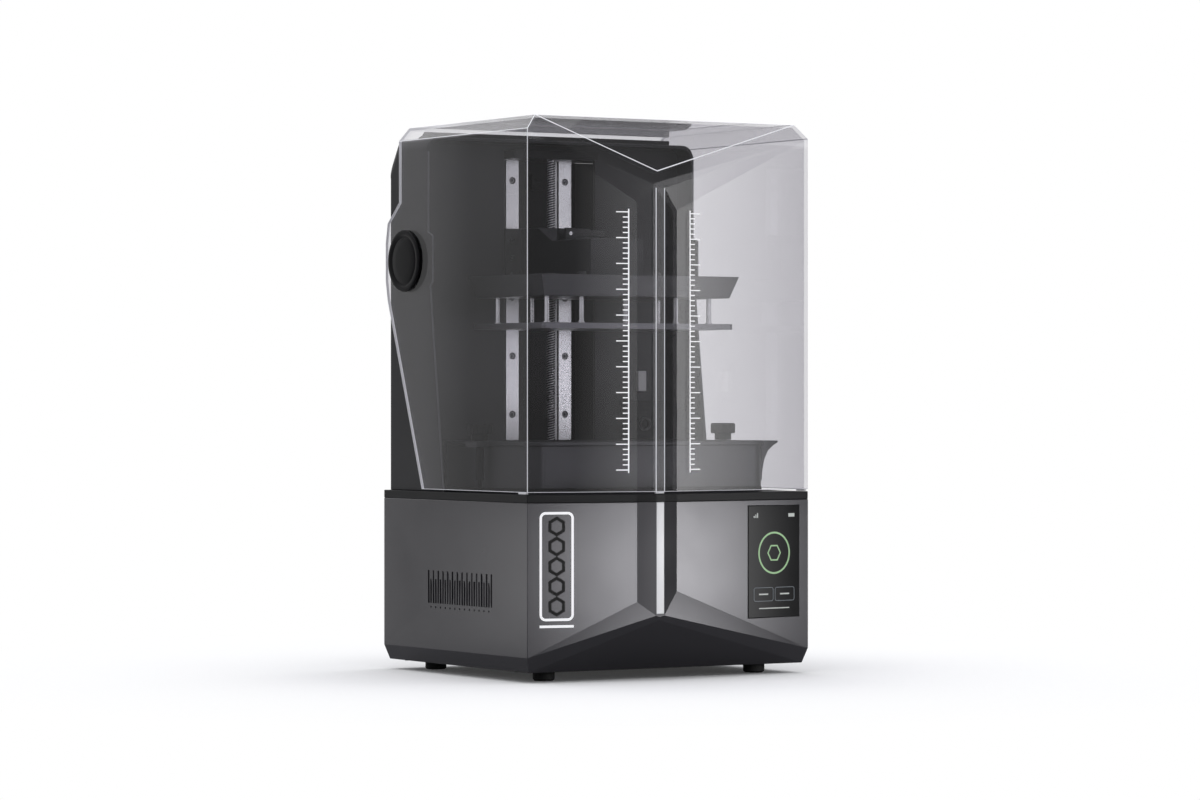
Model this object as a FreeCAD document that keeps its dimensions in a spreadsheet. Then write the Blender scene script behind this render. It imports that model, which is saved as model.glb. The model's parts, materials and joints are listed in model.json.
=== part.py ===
# Desktop resin printer: a faceted base with an off-centre prow, a tinted lid that tips back on
# side hinges, a tilting vat over a display panel, and a build platform on a twin-rail lift.
# Millimetres. +X is to the right, +Y to the back, +Z up. The origin is on the floor, at the middle
# of the footprint.
import FreeCAD, Part
import os
import re
import Sketcher

doc = FreeCAD.newDocument("resin_printer")
sheet = doc.addObject("Spreadsheet::Sheet", "sizes")

# Driving dimensions, each written once.
SIZES = {
    # Plan of base and lid: a box whose front runs out to a ridge left of the middle.
    "body_width": 327.4,
    "body_depth": 283.6,
    "prow_depth": 28.8,
    "ridge_shift": 30.3,
    "strip_width": 9.7,
    "bevel_width": 18.1,
    "bevel_depth": 6.1,
    "rear_proud": 2.0,
    # Heights of the base and the lid.
    "foot_height": 10.0,
    "shell_height": 163.6,
    "deck_thickness": 8.0,
    "lid_gap": 2.0,
    "lid_height": 364.4,
    # Base shell.
    "shell_wall": 2.0,
    "skirt_inset": 4.4,
    "skirt_height": 14.6,
    "strip_rise": 53.5,
    "left_facet_rise": 67.0,
    "right_facet_rise": 76.5,
    "toe_rise": 50.5,
    "strip_thickness": 1.6,
    "strip_margin": 0.4,
    "vent_count": 14,
    "vent_pitch": 9.5,
    "vent_slot_width": 2.8,
    "vent_bottom": 60.5,
    "vent_long": 32.5,
    "vent_short": 24.0,
    "vent_middle": 129.9,
    "vent_dot_radius": 1.1,
    "vent_dot_drop": 4.0,
    "trim_clearance": 0.3,
    # Bottom pan and feet.
    "pan_thickness": 2.0,
    "foot_radius": 10.75,
    "foot_taper": 1.6,
    "foot_side_inset": 40.7,
    "foot_front_inset": 36.9,
    "foot_back_inset": 35.2,
    # Touch screen on the right front facet.
    "screen_width": 68.0,
    "screen_height": 111.0,
    "screen_thickness": 2.0,
    "screen_proud": 0.6,
    "screen_side_inset": 12.0,
    "screen_top_inset": 5.6,
    "screen_border": 5.0,
    "screen_corner": 3.0,
    "module_thickness": 7.0,
    # Deck and chassis.
    "deck_border": 10.7,
    "chassis_drop": 21.6,
    "chassis_thickness": 6.0,
    "chassis_side_gap": 10.7,
    "chassis_front_gap": 20.0,
    "chassis_back_gap": 4.0,
    "pillar_radius": 6.0,
    "pillar_inset": 12.0,
    # Display, tilt plate and vat, centred on the bed.
    "bed_setback": 124.4,
    "display_width": 237.4,
    "display_depth": 141.4,
    "display_thickness": 3.0,
    "window_width": 220.0,
    "window_depth": 126.0,
    "tilt_thickness": 7.0,
    "tilt_depth": 181.0,
    "tilt_gap": 3.0,
    "tilt_rise": 0.4,
    "bezel_inset": 1.0,
    "film_thickness": 0.3,
    "film_gap": 0.2,
    "frame_thickness": 3.5,
    "frame_width": 13.0,
    "vat_width": 274.0,
    "vat_depth": 179.0,
    "vat_height": 46.0,
    "vat_wall": 3.5,
    "vat_flange": 10.0,
    "vat_flange_thickness": 4.0,
    "vat_corner": 14.0,
    "rim_thickness": 4.0,
    "rim_width": 3.0,
    "spout_reach": 19.5,
    "spout_drop": 40.0,
    "spout_width": 44.0,
    "spout_front_inset": 8.0,
    "ear_reach": 17.0,
    "ear_width": 22.0,
    "ear_thickness": 6.0,
    "knob_outset": 7.0,
    "knob_radius": 12.5,
    "knob_height": 10.5,
    "knob_neck_radius": 8.5,
    "knob_neck_height": 6.5,
    "knob_sleeve_radius": 4.3,
    "knob_thread_radius": 2.0,
    "knob_thread_length": 22.0,
    "running_clearance": 0.05,
    "part_clearance": 0.3,
    # Tilt hinge and its lifting rod.
    "tilt_pin_radius": 3.0,
    "tilt_pin_drop": 6.0,
    "tilt_lug_radius": 6.0,
    "tilt_lug_width": 16.0,
    "tilt_lug_spread": 110.0,
    "tilt_ear_thickness": 5.0,
    "rod_radius": 4.0,
    "rod_length": 42.0,
    "rod_inset": 10.0,
    "tilt_motor_width": 35.0,
    "tilt_motor_height": 30.0,
    # Light engine.
    "lens_thickness": 4.0,
    "shroud_wall": 2.0,
    "shroud_flange": 6.0,
    "shroud_flange_thickness": 3.0,
    "led_width": 100.0,
    "led_depth": 70.0,
    "led_thickness": 2.0,
    "heatsink_height": 28.0,
    "heatsink_base": 6.0,
    "fin_count": 12,
    "fin_thickness": 2.4,
    # Fans.
    "lamp_fan_width": 80.0,
    "lamp_fan_depth": 25.0,
    "rear_fan_width": 60.0,
    "rear_fan_depth": 20.0,
    "fan_rim": 3.0,
    "fan_hub_share": 0.42,
    "fan_strut_width": 5.0,
    "fan_strut_thickness": 3.0,
    "fan_tip_clearance": 1.0,
    "fan_pin_radius": 1.5,
    "blade_count": 7,
    "blade_thickness": 1.4,
    "blade_pitch": 38.0,
    "rear_fan_x": 72.0,
    "rear_fan_rise": 75.0,
    "grille_pitch": 7.0,
    "grille_slot": 4.2,
    # Electronics.
    "board_width": 88.0,
    "board_depth": 150.0,
    "board_thickness": 1.8,
    "board_standoff": 8.0,
    "board_side_gap": 8.0,
    "supply_width": 92.0,
    "supply_depth": 130.0,
    "supply_height": 36.0,
    "supply_side_gap": 10.0,
    # Mains inlet, switch and data socket.
    "inlet_x": -112.0,
    "inlet_rise": 34.0,
    "inlet_width": 27.6,
    "inlet_height": 20.0,
    "inlet_flange": 4.0,
    "inlet_depth": 26.0,
    "inlet_wall": 1.6,
    "inlet_cavity": 17.0,
    "blade_pin_width": 2.0,
    "blade_pin_height": 4.0,
    "blade_pin_length": 11.5,
    "blade_pin_spacing": 7.0,
    "switch_x": -76.0,
    "switch_width": 13.6,
    "switch_height": 20.0,
    "switch_depth": 18.0,
    "switch_wall": 1.5,
    "rocker_angle": 7.0,
    "rocker_radius": 9.6,
    "rocker_pivot_depth": 5.5,
    "rocker_pin_radius": 1.25,
    "usb_setback": 55.0,
    "usb_rise": 48.0,
    "usb_width": 14.4,
    "usb_height": 7.2,
    "usb_depth": 18.0,
    "usb_wall": 0.8,
    "usb_tongue": 1.8,
    # Lift: column, rails, lead screw and motor.
    "column_width": 100.0,
    "column_thickness": 12.0,
    "column_setback": 11.2,
    "rail_spacing": 63.2,
    "rail_width": 15.0,
    "rail_height": 10.0,
    "rail_groove": 2.0,
    "rail_hole_radius": 3.75,
    "rail_hole_depth": 5.0,
    "rail_hole_pitch": 60.0,
    "rail_hole_count": 6,
    "rail_foot_gap": 2.4,
    "rail_hole_inset": 14.0,
    "screw_radius": 4.0,
    "screw_setback": 57.2,
    "bridge_thickness": 9.0,
    "bridge_front": 12.0,
    "bearing_radius": 8.0,
    "bearing_height": 5.0,
    "coupling_radius": 9.0,
    "coupling_height": 24.0,
    "motor_width": 42.3,
    "motor_height": 40.0,
    "motor_chamfer": 4.0,
    "motor_boss_radius": 11.0,
    "motor_boss_height": 2.0,
    "motor_shaft_radius": 2.5,
    "limit_width": 14.0,
    "limit_depth": 8.0,
    "limit_height": 16.0,
    "limit_drop": 14.0,
    # Carriage and build platform at their resting height.
    "plate_rest": 161.8,
    "plate_thickness": 5.6,
    "plate_width": 224.0,
    "plate_depth": 136.0,
    "plate_corner": 4.0,
    "head_width": 232.0,
    "head_depth": 144.0,
    "head_thickness": 21.5,
    "head_gap": 26.0,
    "head_taper": 7.0,
    "pin_radius": 2.5,
    "pin_bore_depth": 19.0,
    "pin_reach": 11.0,
    "pin_collar_radius": 3.6,
    "pin_collar_height": 1.5,
    "pin_outer_spread": 190.8,
    "pin_inner_spread": 110.8,
    "pin_row_spread": 95.2,
    "spring_wire": 0.8,
    "spring_slack": 0.2,
    "arm_width": 62.0,
    "arm_height": 37.5,
    "arm_front_overhang": 46.0,
    "arm_shoulder": 14.0,
    "carriage_width": 100.0,
    "carriage_thickness": 5.0,
    "carriage_height": 60.0,
    "carriage_drop": 8.5,
    "block_width": 34.0,
    "block_depth": 21.0,
    "block_height": 58.0,
    "nut_radius": 6.5,
    "nut_length": 15.0,
    "nut_flange_radius": 11.0,
    "nut_flange_thickness": 4.0,
    "lever_length": 42.0,
    "lever_width": 11.4,
    "lever_thickness": 6.0,
    "lever_eye_radius": 5.5,
    "lever_pin_radius": 2.0,
    "lever_x": -20.0,
    "lever_forward": 39.0,
    "lever_rise": 7.0,
    "lever_lug": 3.0,
    # Rear housing.
    "lid_side_gap": 1.7,
    "housing_wall": 3.0,
    "housing_back_setback": 5.2,
    "housing_headroom": 11.0,
    "housing_corner": 14.0,
    "housing_back_chamfer": 9.0,
    "housing_back_drop": 14.0,
    "wing_depth": 76.0,
    "wing_knee": 4.0,
    "wing_foot": 31.0,
    "wing_boss_reach": 9.0,
    "wing_boss_above": 24.0,
    "wing_boss_below": 22.0,
    "wing_boss_slope": 4.0,
    "panel_setback": 50.0,
    "axis_opening_width": 108.0,
    "axis_opening_headroom": 9.0,
    "cover_margin": 6.0,
    "cover_slot_count": 9,
    "cover_slot_pitch": 12.0,
    "cover_slot_length": 90.0,
    "cover_slot_width": 4.0,
    # Camera and lamp on the housing panel.
    "camera_x": 110.0,
    "camera_rise": 50.4,
    "camera_width": 50.0,
    "camera_height": 40.0,
    "camera_depth": 8.0,
    "camera_lens_rise": 16.0,
    "camera_lens_radius": 7.0,
    "camera_lens_depth": 3.0,
    "lamp_gap": 10.0,
    "lamp_width": 10.0,
    "lamp_height": 21.0,
    "lamp_depth": 4.0,
    # Lid.
    "lid_wall": 3.0,
    "roof_inset": 12.3,
    "roof_drop": 13.9,
    "roof_setback": 6.4,
    "lid_strip_drop": 69.4,
    "lid_left_facet_drop": 83.0,
    "lid_right_facet_drop": 90.2,
    "peak_drop": 51.6,
    "peak_setback": 8.4,
    "roof_rear_setback": 30.7,
    "ear_rear_setback": 7.2,
    "ear_above_hinge": 39.0,
    "ear_slope_above": 59.0,
    "ear_below_hinge": 39.0,
    "ear_bulge": 4.0,
    "ear_bulge_half": 19.0,
    "lid_foot_setback": 77.2,
    "bumper_length": 14.0,
    "bumper_width": 3.0,
    "bumper_lift": 0.3,
    # Lid hinge.
    "hinge_rise": 231.4,
    "hinge_setback": 44.2,
    "hinge_shaft_radius": 5.0,
    "hinge_block_depth": 22.0,
    "hinge_block_height": 34.0,
    "hinge_block_width": 16.0,
    "hinge_cap_radius": 31.0,
    "hinge_cap_thickness": 3.0,
    "hinge_cap_rim": 4.0,
    "hinge_cap_dish": 1.6,
}

for row, (name, number) in enumerate(SIZES.items(), start=1):
    sheet.set("A%d" % row, name)
    sheet.set("B%d" % row, str(number))
    sheet.setAlias("B%d" % row, name)
doc.recompute()

# Places worked out from the sizes. Each is a formula in the names above.
HALF = "(body_width / 2)"
RIDGE_Y = "(-(prow_depth + body_depth + rear_proud) / 2)"
CORNER_Y = f"({RIDGE_Y} + prow_depth)"
BACK_Y = f"({CORNER_Y} + body_depth)"
RIDGE_LEFT = "(-ridge_shift - strip_width / 2)"
RIDGE_RIGHT = "(-ridge_shift + strip_width / 2)"
BEVEL_LEFT = f"({RIDGE_LEFT} - bevel_width)"
BEVEL_RIGHT = f"({RIDGE_RIGHT} + bevel_width)"
BEVEL_Y = f"({RIDGE_Y} + bevel_depth)"
SHELL_TOP = "(foot_height + shell_height)"
DECK_TOP = f"({SHELL_TOP} + deck_thickness)"
LID_BOTTOM = f"({DECK_TOP} + lid_gap)"
LID_TOP = f"({LID_BOTTOM} + lid_height)"
SKIRT_TOP = "(foot_height + skirt_height)"
PAN_TOP = "(foot_height + pan_thickness)"
CHASSIS_TOP = f"({SHELL_TOP} - chassis_drop)"
CHASSIS_BOTTOM = f"({CHASSIS_TOP} - chassis_thickness)"
CHASSIS_HALF = f"({HALF} - shell_wall - chassis_side_gap)"
CHASSIS_FRONT = f"({CORNER_Y} + chassis_front_gap)"
CHASSIS_BACK = f"({BACK_Y} - shell_wall - chassis_back_gap)"
BED_Y = f"({CORNER_Y} + bed_setback)"
DECK_HOLE_HALF = f"({HALF} - deck_border)"
TILT_HALF = f"({DECK_HOLE_HALF} - tilt_gap)"
BEZEL_TOP = f"({DECK_TOP} + tilt_rise)"
TILT_TOP = f"({BEZEL_TOP} - display_thickness)"
TILT_BOTTOM = f"({TILT_TOP} - tilt_thickness)"
TILT_PIN_Z = f"({TILT_BOTTOM} - tilt_pin_drop)"
TILT_PIN_X = TILT_HALF
FILM_BOTTOM = f"({BEZEL_TOP} + film_gap)"
FRAME_BOTTOM = f"({FILM_BOTTOM} + film_thickness)"
VAT_BOTTOM = f"({FRAME_BOTTOM} + frame_thickness)"
VAT_TOP = f"({VAT_BOTTOM} + vat_height)"
KNOB_X = "(vat_width / 2 + knob_outset)"
ROD_X = f"(-{TILT_HALF} + rod_inset)"
ROD_TOP = f"({TILT_BOTTOM} - part_clearance)"
COLUMN_BACK = f"({BACK_Y} - column_setback)"
COLUMN_FRONT = f"({COLUMN_BACK} - column_thickness)"
RAIL_FRONT = f"({COLUMN_FRONT} - rail_height)"
SCREW_Y = f"({BACK_Y} - screw_setback)"
HOUSING_HALF = f"({HALF} - lid_wall - lid_side_gap)"
HOUSING_BACK = f"({BACK_Y} - housing_back_setback)"
HOUSING_TOP = f"({LID_TOP} - housing_headroom)"
PANEL_FRONT = f"({HOUSING_BACK} - panel_setback)"
PANEL_BACK = f"({PANEL_FRONT} + housing_wall)"
COLUMN_TOP = f"({HOUSING_TOP} - axis_opening_headroom)"
HINGE_Y = f"({BACK_Y} - hinge_setback)"
HINGE_Z = f"({DECK_TOP} + hinge_rise)"
PLATE_BOTTOM = f"({DECK_TOP} + plate_rest)"
PLATE_TOP = f"({PLATE_BOTTOM} + plate_thickness)"
HEAD_BOTTOM = f"({PLATE_TOP} + head_gap)"
HEAD_TOP = f"({HEAD_BOTTOM} + head_thickness)"
ARM_TOP = f"({HEAD_TOP} + arm_height)"
BLOCK_BACK = f"({RAIL_FRONT} + rail_height - 3 * part_clearance)"
BLOCK_FRONT = f"({BLOCK_BACK} - block_depth)"
CARRIAGE_FRONT = f"({BLOCK_FRONT} - carriage_thickness)"
CARRIAGE_BOTTOM = f"({HEAD_TOP} - carriage_drop)"
CARRIAGE_TOP = f"({CARRIAGE_BOTTOM} + carriage_height)"
LEVER_Y = f"({BED_Y} + lever_forward)"
LEVER_Z = f"({ARM_TOP} + lever_rise)"
LED_BOTTOM = f"({PAN_TOP} + lamp_fan_depth + heatsink_height)"
LED_TOP = f"({LED_BOTTOM} + led_thickness)"
SHROUD_TOP = f"({CHASSIS_BOTTOM})"


def cells(text):
    """The formula with each size's name turned into its cell of the sheet."""
    return re.sub(r"[a-z_]+", lambda word: "sizes." + word[0] if word[0] in SIZES else word[0], text)


def value(text):
    """The number that a formula gives."""
    result = sheet.evalExpression(cells(text))
    return float(getattr(result, "Value", result))


def point(x, y, z):
    """The point at three formulas."""
    return FreeCAD.Vector(value(x), value(y), value(z))


def bind(piece, prop, text):
    """Ties one property of a piece to a formula."""
    piece.setExpression(prop, cells(text))


def move(piece, x, y, z):
    """Ties a piece's place to three formulas."""
    for axis, text in zip("xyz", (x, y, z)):
        bind(piece, ".Placement.Base." + axis, text)


def box(name, x, y, z):
    """A block between a low and a high formula along each axis."""
    piece = doc.addObject("Part::Box", name)
    for side, (low, high) in zip(("Length", "Width", "Height"), (x, y, z)):
        bind(piece, side, f"({high}) - ({low})")
    move(piece, x[0], y[0], z[0])
    return piece


def span(middle, width):
    """The low and high formulas of a width about a middle."""
    return (f"({middle}) - ({width}) / 2", f"({middle}) + ({width}) / 2")


AXIS_TURNS = {
    "x": FreeCAD.Rotation(FreeCAD.Vector(0, 1, 0), 90),
    "y": FreeCAD.Rotation(FreeCAD.Vector(1, 0, 0), -90),
    "z": FreeCAD.Rotation(),
}


def rod(name, axis, ends, radius, first, second):
    """A cylinder along one axis; first and second place it across the other two axes, in order."""
    piece = doc.addObject("Part::Cylinder", name)
    bind(piece, "Radius", radius)
    bind(piece, "Height", f"({ends[1]}) - ({ends[0]})")
    piece.Placement = FreeCAD.Placement(FreeCAD.Vector(), AXIS_TURNS[axis])
    places = [first, second]
    places.insert("xyz".index(axis), ends[0])
    move(piece, *places)
    return piece


def join(name, *pieces):
    """One solid from several that touch or overlap."""
    piece = doc.addObject("Part::MultiFuse", name)
    piece.Shapes = list(pieces)
    return piece


def cut(name, base, *tools):
    """A solid with one or more tools taken out of it."""
    piece = doc.addObject("Part::Cut", name)
    piece.Base = base
    piece.Tool = tools[0] if len(tools) == 1 else join(name + "_tools", *tools)
    return piece


def group(name, *pieces):
    """Separate solids kept together as one sub-part."""
    piece = doc.addObject("Part::Compound", name)
    piece.Links = list(pieces)
    return piece


def mirrored(name, piece):
    """A copy of a piece on the other side of the middle plane."""
    copy = doc.addObject("Part::Mirroring", name)
    copy.Source = piece
    copy.Normal = FreeCAD.Vector(1, 0, 0)
    return copy


def feature(name, shape):
    """A sub-part whose shape is worked out directly."""
    piece = doc.addObject("Part::Feature", name)
    piece.Shape = shape
    return piece


def sketch(body, plane, name, offset="0"):
    """A drawing on one of a body's own origin planes, moved along the plane's normal."""
    drawing = body.newObject("Sketcher::SketchObject", name)
    support = [item for item in body.Origin.OriginFeatures if item.Role == plane][0]
    drawing.AttachmentSupport = [(support, "")]
    drawing.MapMode = "FlatFace"
    bind(drawing, ".AttachmentOffset.Base.z", offset)
    return drawing


def outline(drawing, corners):
    """A closed outline of straight sides, each corner held by two dimensions."""
    first = drawing.GeometryCount
    count = len(corners)
    spots = [FreeCAD.Vector(value(u), value(v), 0) for u, v in corners]
    for index, spot in enumerate(spots):
        drawing.addGeometry(Part.LineSegment(spot, spots[(index + 1) % count]))
    for index, (u, v) in enumerate(corners):
        following = first + (index + 1) % count
        drawing.addConstraint(Sketcher.Constraint("Coincident", first + index, 2, following, 1))
        for kind, text in (("DistanceX", u), ("DistanceY", v)):
            rule = Sketcher.Constraint(kind, -1, 1, first + index, 1, value(text))
            number = drawing.addConstraint(rule)
            bind(drawing, "Constraints[%d]" % number, text)


def circle(drawing, u, v, radius):
    """A round hole or boss in a drawing, held by its centre and radius."""
    spot = FreeCAD.Vector(value(u), value(v), 0)
    index = drawing.addGeometry(Part.Circle(spot, FreeCAD.Vector(0, 0, 1), value(radius)))
    for kind, text in (("DistanceX", u), ("DistanceY", v)):
        number = drawing.addConstraint(Sketcher.Constraint(kind, -1, 1, index, 3, value(text)))
        bind(drawing, "Constraints[%d]" % number, text)
    number = drawing.addConstraint(Sketcher.Constraint("Radius", index, value(radius)))
    bind(drawing, "Constraints[%d]" % number, radius)


def rectangle(x, y):
    """The corners of a rectangle between two pairs of formulas."""
    return [(x[0], y[0]), (x[1], y[0]), (x[1], y[1]), (x[0], y[1])]


def pad(body, drawing, length, backwards=False):
    """Raises a drawing into a solid along its normal, or against it."""
    raised = body.newObject("PartDesign::Pad", drawing.Name + "_pad")
    raised.Profile = drawing
    bind(raised, "Length", length)
    raised.Reversed = backwards
    return raised


def pocket(body, drawing, depth, forwards=False):
    """Sinks a drawing into a body against its normal, or along it."""
    sunk = body.newObject("PartDesign::Pocket", drawing.Name + "_pocket")
    sunk.Profile = drawing
    bind(sunk, "Length", depth)
    sunk.Reversed = forwards
    return sunk


def extruded(name, plane, corners, start, length, backwards=False):
    """A body with one straight-sided outline raised from a plane."""
    body = doc.addObject("PartDesign::Body", name)
    drawing = sketch(body, plane, name + "_outline", start)
    outline(drawing, corners)
    pad(body, drawing, length, backwards)
    return body


def turned(name, profile):
    """A body turned about Z from a profile of radius and height."""
    body = doc.addObject("PartDesign::Body", name)
    drawing = sketch(body, "XZ_Plane", name + "_profile")
    outline(drawing, profile)
    revolved = body.newObject("PartDesign::Revolution", name + "_turn")
    revolved.Profile = drawing
    revolved.ReferenceAxis = (drawing, ["V_Axis"])
    revolved.Angle = 360
    return body


def rounded(body, name, radius, chosen):
    """Rounds the edges of a body whose bounds pass a test."""
    doc.recompute()
    tip = body.Tip
    edges = [f"Edge{index}" for index, edge in enumerate(tip.Shape.Edges, start=1) if chosen(edge.BoundBox)]
    rounding = body.newObject("PartDesign::Fillet", name)
    rounding.Base = (tip, edges)
    bind(rounding, "Radius", radius)
    return body


def upright(bounds):
    """Whether an edge stands straight up."""
    return bounds.XLength < 1e-6 and bounds.YLength < 1e-6


def lengthwise_above(height):
    """A test for edges that run from front to back above a height."""
    limit = value(height)
    return lambda bounds: bounds.ZMin > limit and bounds.XLength < 1e-6


def copies(name, source, places):
    """Copies of a turned or padded body at several places."""
    made = []
    for index, (x, y, z) in enumerate(places):
        copy = doc.addObject("App::Link", "%s_%d" % (name, index))
        copy.LinkedObject = source
        made.append(copy)
        move(copy, x, y, z)
    return made


# Faceted solids of the base and the lid.
REACH = 2000.0


def prism(corners, bottom, top):
    """A straight block on a plan outline."""
    spots = [FreeCAD.Vector(value(x), value(y), value(bottom)) for x, y in corners]
    face = Part.Face(Part.makePolygon(spots + spots[:1]))
    return face.extrude(FreeCAD.Vector(0, 0, value(top) - value(bottom)))


def trimmed(shape, corners, inset=0.0):
    """The shape without what lies outside the plane through three corners, moved in by inset."""
    first, second, third = corners
    outward = (second - first).cross(third - first).normalize()
    if outward.dot(point("0", BED_Y, f"({SHELL_TOP})") - first) > 0:
        outward = outward * -1
    beyond = Part.makeBox(REACH, REACH, REACH, FreeCAD.Vector(-REACH / 2, -REACH / 2, 0))
    turn = FreeCAD.Rotation(FreeCAD.Vector(0, 0, 1), outward)
    beyond.Placement = FreeCAD.Placement(first - outward * inset, turn)
    return shape.cut(beyond)


def sheared(corners, rise):
    """A three-cornered block raised or lowered from a slanted face."""
    face = Part.Face(Part.makePolygon(corners + corners[:1]))
    return face.extrude(FreeCAD.Vector(0, 0, rise))


ENVELOPE = [
    (f"-{HALF}", BACK_Y),
    (f"-{HALF}", CORNER_Y),
    (RIDGE_LEFT, RIDGE_Y),
    (RIDGE_RIGHT, RIDGE_Y),
    (HALF, CORNER_Y),
    (HALF, BACK_Y),
]
PLAN = ENVELOPE[:2] + [
    (BEVEL_LEFT, BEVEL_Y),
    (RIDGE_LEFT, RIDGE_Y),
    (RIDGE_RIGHT, RIDGE_Y),
    (BEVEL_RIGHT, BEVEL_Y),
] + ENVELOPE[4:]


def facet_planes(low, high):
    """The two upright front facets that meet behind the ridge."""
    left = [(f"-{HALF}", CORNER_Y, low), (BEVEL_LEFT, BEVEL_Y, low), (f"-{HALF}", CORNER_Y, high)]
    right = [(HALF, CORNER_Y, low), (BEVEL_RIGHT, BEVEL_Y, low), (HALF, CORNER_Y, high)]
    return [[point(*corner) for corner in plane] for plane in (left, right)]


def brow_planes(corner_z, strip_z, edge_in, edge_back, edge_z):
    """The slanted bands that run from each front corner to the end of the ridge strip."""
    planes = []
    for sign, ridge in (("-", RIDGE_LEFT), ("", RIDGE_RIGHT)):
        planes.append([
            point(f"{sign}{HALF}", CORNER_Y, corner_z),
            point(ridge, RIDGE_Y, strip_z),
            point(f"{sign}({HALF} - {edge_in})", f"{CORNER_Y} + {edge_back}", edge_z),
        ])
    return planes


def facet_wedges(corner_z, left_z, right_z, strip_z, rise):
    """The thin wedges between the ridge's envelope and the facets set back from it."""
    wedges = []
    for sign, bevel, ridge, bevel_z in (
        ("-", BEVEL_LEFT, RIDGE_LEFT, left_z),
        ("", BEVEL_RIGHT, RIDGE_RIGHT, right_z),
    ):
        corners = [
            point(f"{sign}{HALF}", CORNER_Y, corner_z),
            point(bevel, BEVEL_Y, bevel_z),
            point(ridge, RIDGE_Y, strip_z),
        ]
        wedges.append(sheared(corners, rise))
    return wedges


# Base shell: the painted housing, open above for the deck and below for the pan.
STRIP_Z = "(foot_height + strip_rise)"


def base_planes():
    """The slanted faces under the base: skirts, front bands and toe."""
    low = "foot_height"
    planes = []
    for sign in ("-", ""):
        planes.append([
            point(f"{sign}{HALF}", CORNER_Y, SKIRT_TOP),
            point(f"{sign}{HALF}", BACK_Y, SKIRT_TOP),
            point(f"{sign}({HALF} - skirt_inset)", BACK_Y, low),
        ])
    planes.append([
        point(f"-{HALF}", BACK_Y, SKIRT_TOP),
        point(HALF, BACK_Y, SKIRT_TOP),
        point(HALF, f"{BACK_Y} - skirt_inset", low),
    ])
    planes += brow_planes(SKIRT_TOP, STRIP_Z, "skirt_inset", "skirt_inset", low)
    planes.append([
        point(f"-{HALF} + skirt_inset", f"{CORNER_Y} + skirt_inset", low),
        point(f"{HALF} - skirt_inset", f"{CORNER_Y} + skirt_inset", low),
        point("-ridge_shift", RIDGE_Y, "foot_height + toe_rise"),
    ])
    return planes


def base_hollow():
    """The space inside the base, one wall in from every face."""
    wall = value("shell_wall")
    inner = f"({HALF} - shell_wall)"
    corners = rectangle((f"-{inner}", inner), (f"{RIDGE_Y}", f"{BACK_Y} - shell_wall"))
    hollow = prism(corners, "0", f"{DECK_TOP}")
    for plane in facet_planes("foot_height", SHELL_TOP) + base_planes():
        hollow = trimmed(hollow, plane, wall)
    return hollow


def block(x, y, z):
    """A plain block between low and high formulas, for cutting."""
    low = point(x[0], y[0], z[0])
    size = point(x[1], y[1], z[1]) - low
    return Part.makeBox(size.x, size.y, size.z, low)


SCREEN_ANGLE = f"atan2({CORNER_Y} - {BEVEL_Y}; {HALF} - {BEVEL_RIGHT})"


def on_screen_facet(shape):
    """A shape drawn flat at the right front corner, turned onto the right facet."""
    turn = FreeCAD.Rotation(FreeCAD.Vector(0, 0, 1), value(SCREEN_ANGLE))
    shape.Placement = FreeCAD.Placement(point(HALF, CORNER_Y, "0"), turn)
    return shape


SCREEN_X = ("-screen_side_inset - screen_width", "-screen_side_inset")
SCREEN_Z = (f"{SHELL_TOP} - screen_top_inset - screen_height", f"{SHELL_TOP} - screen_top_inset")
SCREEN_BACK = "(screen_thickness - screen_proud)"


def screen_cuts():
    """The glass's recess in the right facet, and the window behind it."""
    recess = block(SCREEN_X, ("-shell_wall", SCREEN_BACK), SCREEN_Z)
    window = block(
        (f"{SCREEN_X[0]} + screen_border", f"{SCREEN_X[1]} - screen_border"),
        ("-shell_wall", "3 * shell_wall"),
        (f"{SCREEN_Z[0]} + screen_border", f"{SCREEN_Z[1]} - screen_border"),
    )
    return [on_screen_facet(recess), on_screen_facet(window)]


def vent_cuts():
    """Upright slots in the left wall, long and short by turns, with a round hole under each short one."""
    count = round(value("vent_count"))
    wall = (f"-{HALF} - shell_wall", f"-{HALF} + 2 * shell_wall")
    slots = []
    for index in range(2 * count - 1):
        middle = f"({CORNER_Y} + vent_middle + vent_pitch / 2 * ({index} - {count} + 1))"
        length = "vent_long" if index % 2 == 0 else "vent_short"
        low = "(foot_height + vent_bottom)"
        slots.append(block(wall, span(middle, "vent_slot_width"), (low, f"{low} + {length}")))
        if index % 2:
            dot = point(wall[0], middle, f"{low} - vent_dot_drop")
            slots.append(Part.makeCylinder(value("vent_dot_radius"), value("3 * shell_wall"), dot,
                                           FreeCAD.Vector(1, 0, 0)))
    return slots


REAR_FAN_Z = "(foot_height + rear_fan_rise)"


def grille_cuts():
    """Slots across the rear fan's circle, each as long as its chord."""
    reach = value("rear_fan_width / 2 - fan_rim")
    pitch = value("grille_pitch")
    steps = int(reach // pitch)
    slots = []
    for step in range(-steps, steps + 1):
        chord = 2 * (reach ** 2 - (step * pitch) ** 2) ** 0.5 - value("grille_slot")
        slots.append(block(
            span(f"rear_fan_x + {step} * grille_pitch", "grille_slot"),
            (f"{BACK_Y} - 2 * shell_wall", f"{BACK_Y} + shell_wall"),
            span(REAR_FAN_Z, f"{chord}"),
        ))
    return slots


INLET_Z = "(foot_height + inlet_rise)"
USB_Y = f"({CORNER_Y} + usb_setback)"
USB_Z = "(foot_height + usb_rise)"
REAR_WALL = (f"{BACK_Y} - 2 * shell_wall", f"{BACK_Y} + shell_wall")


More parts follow.
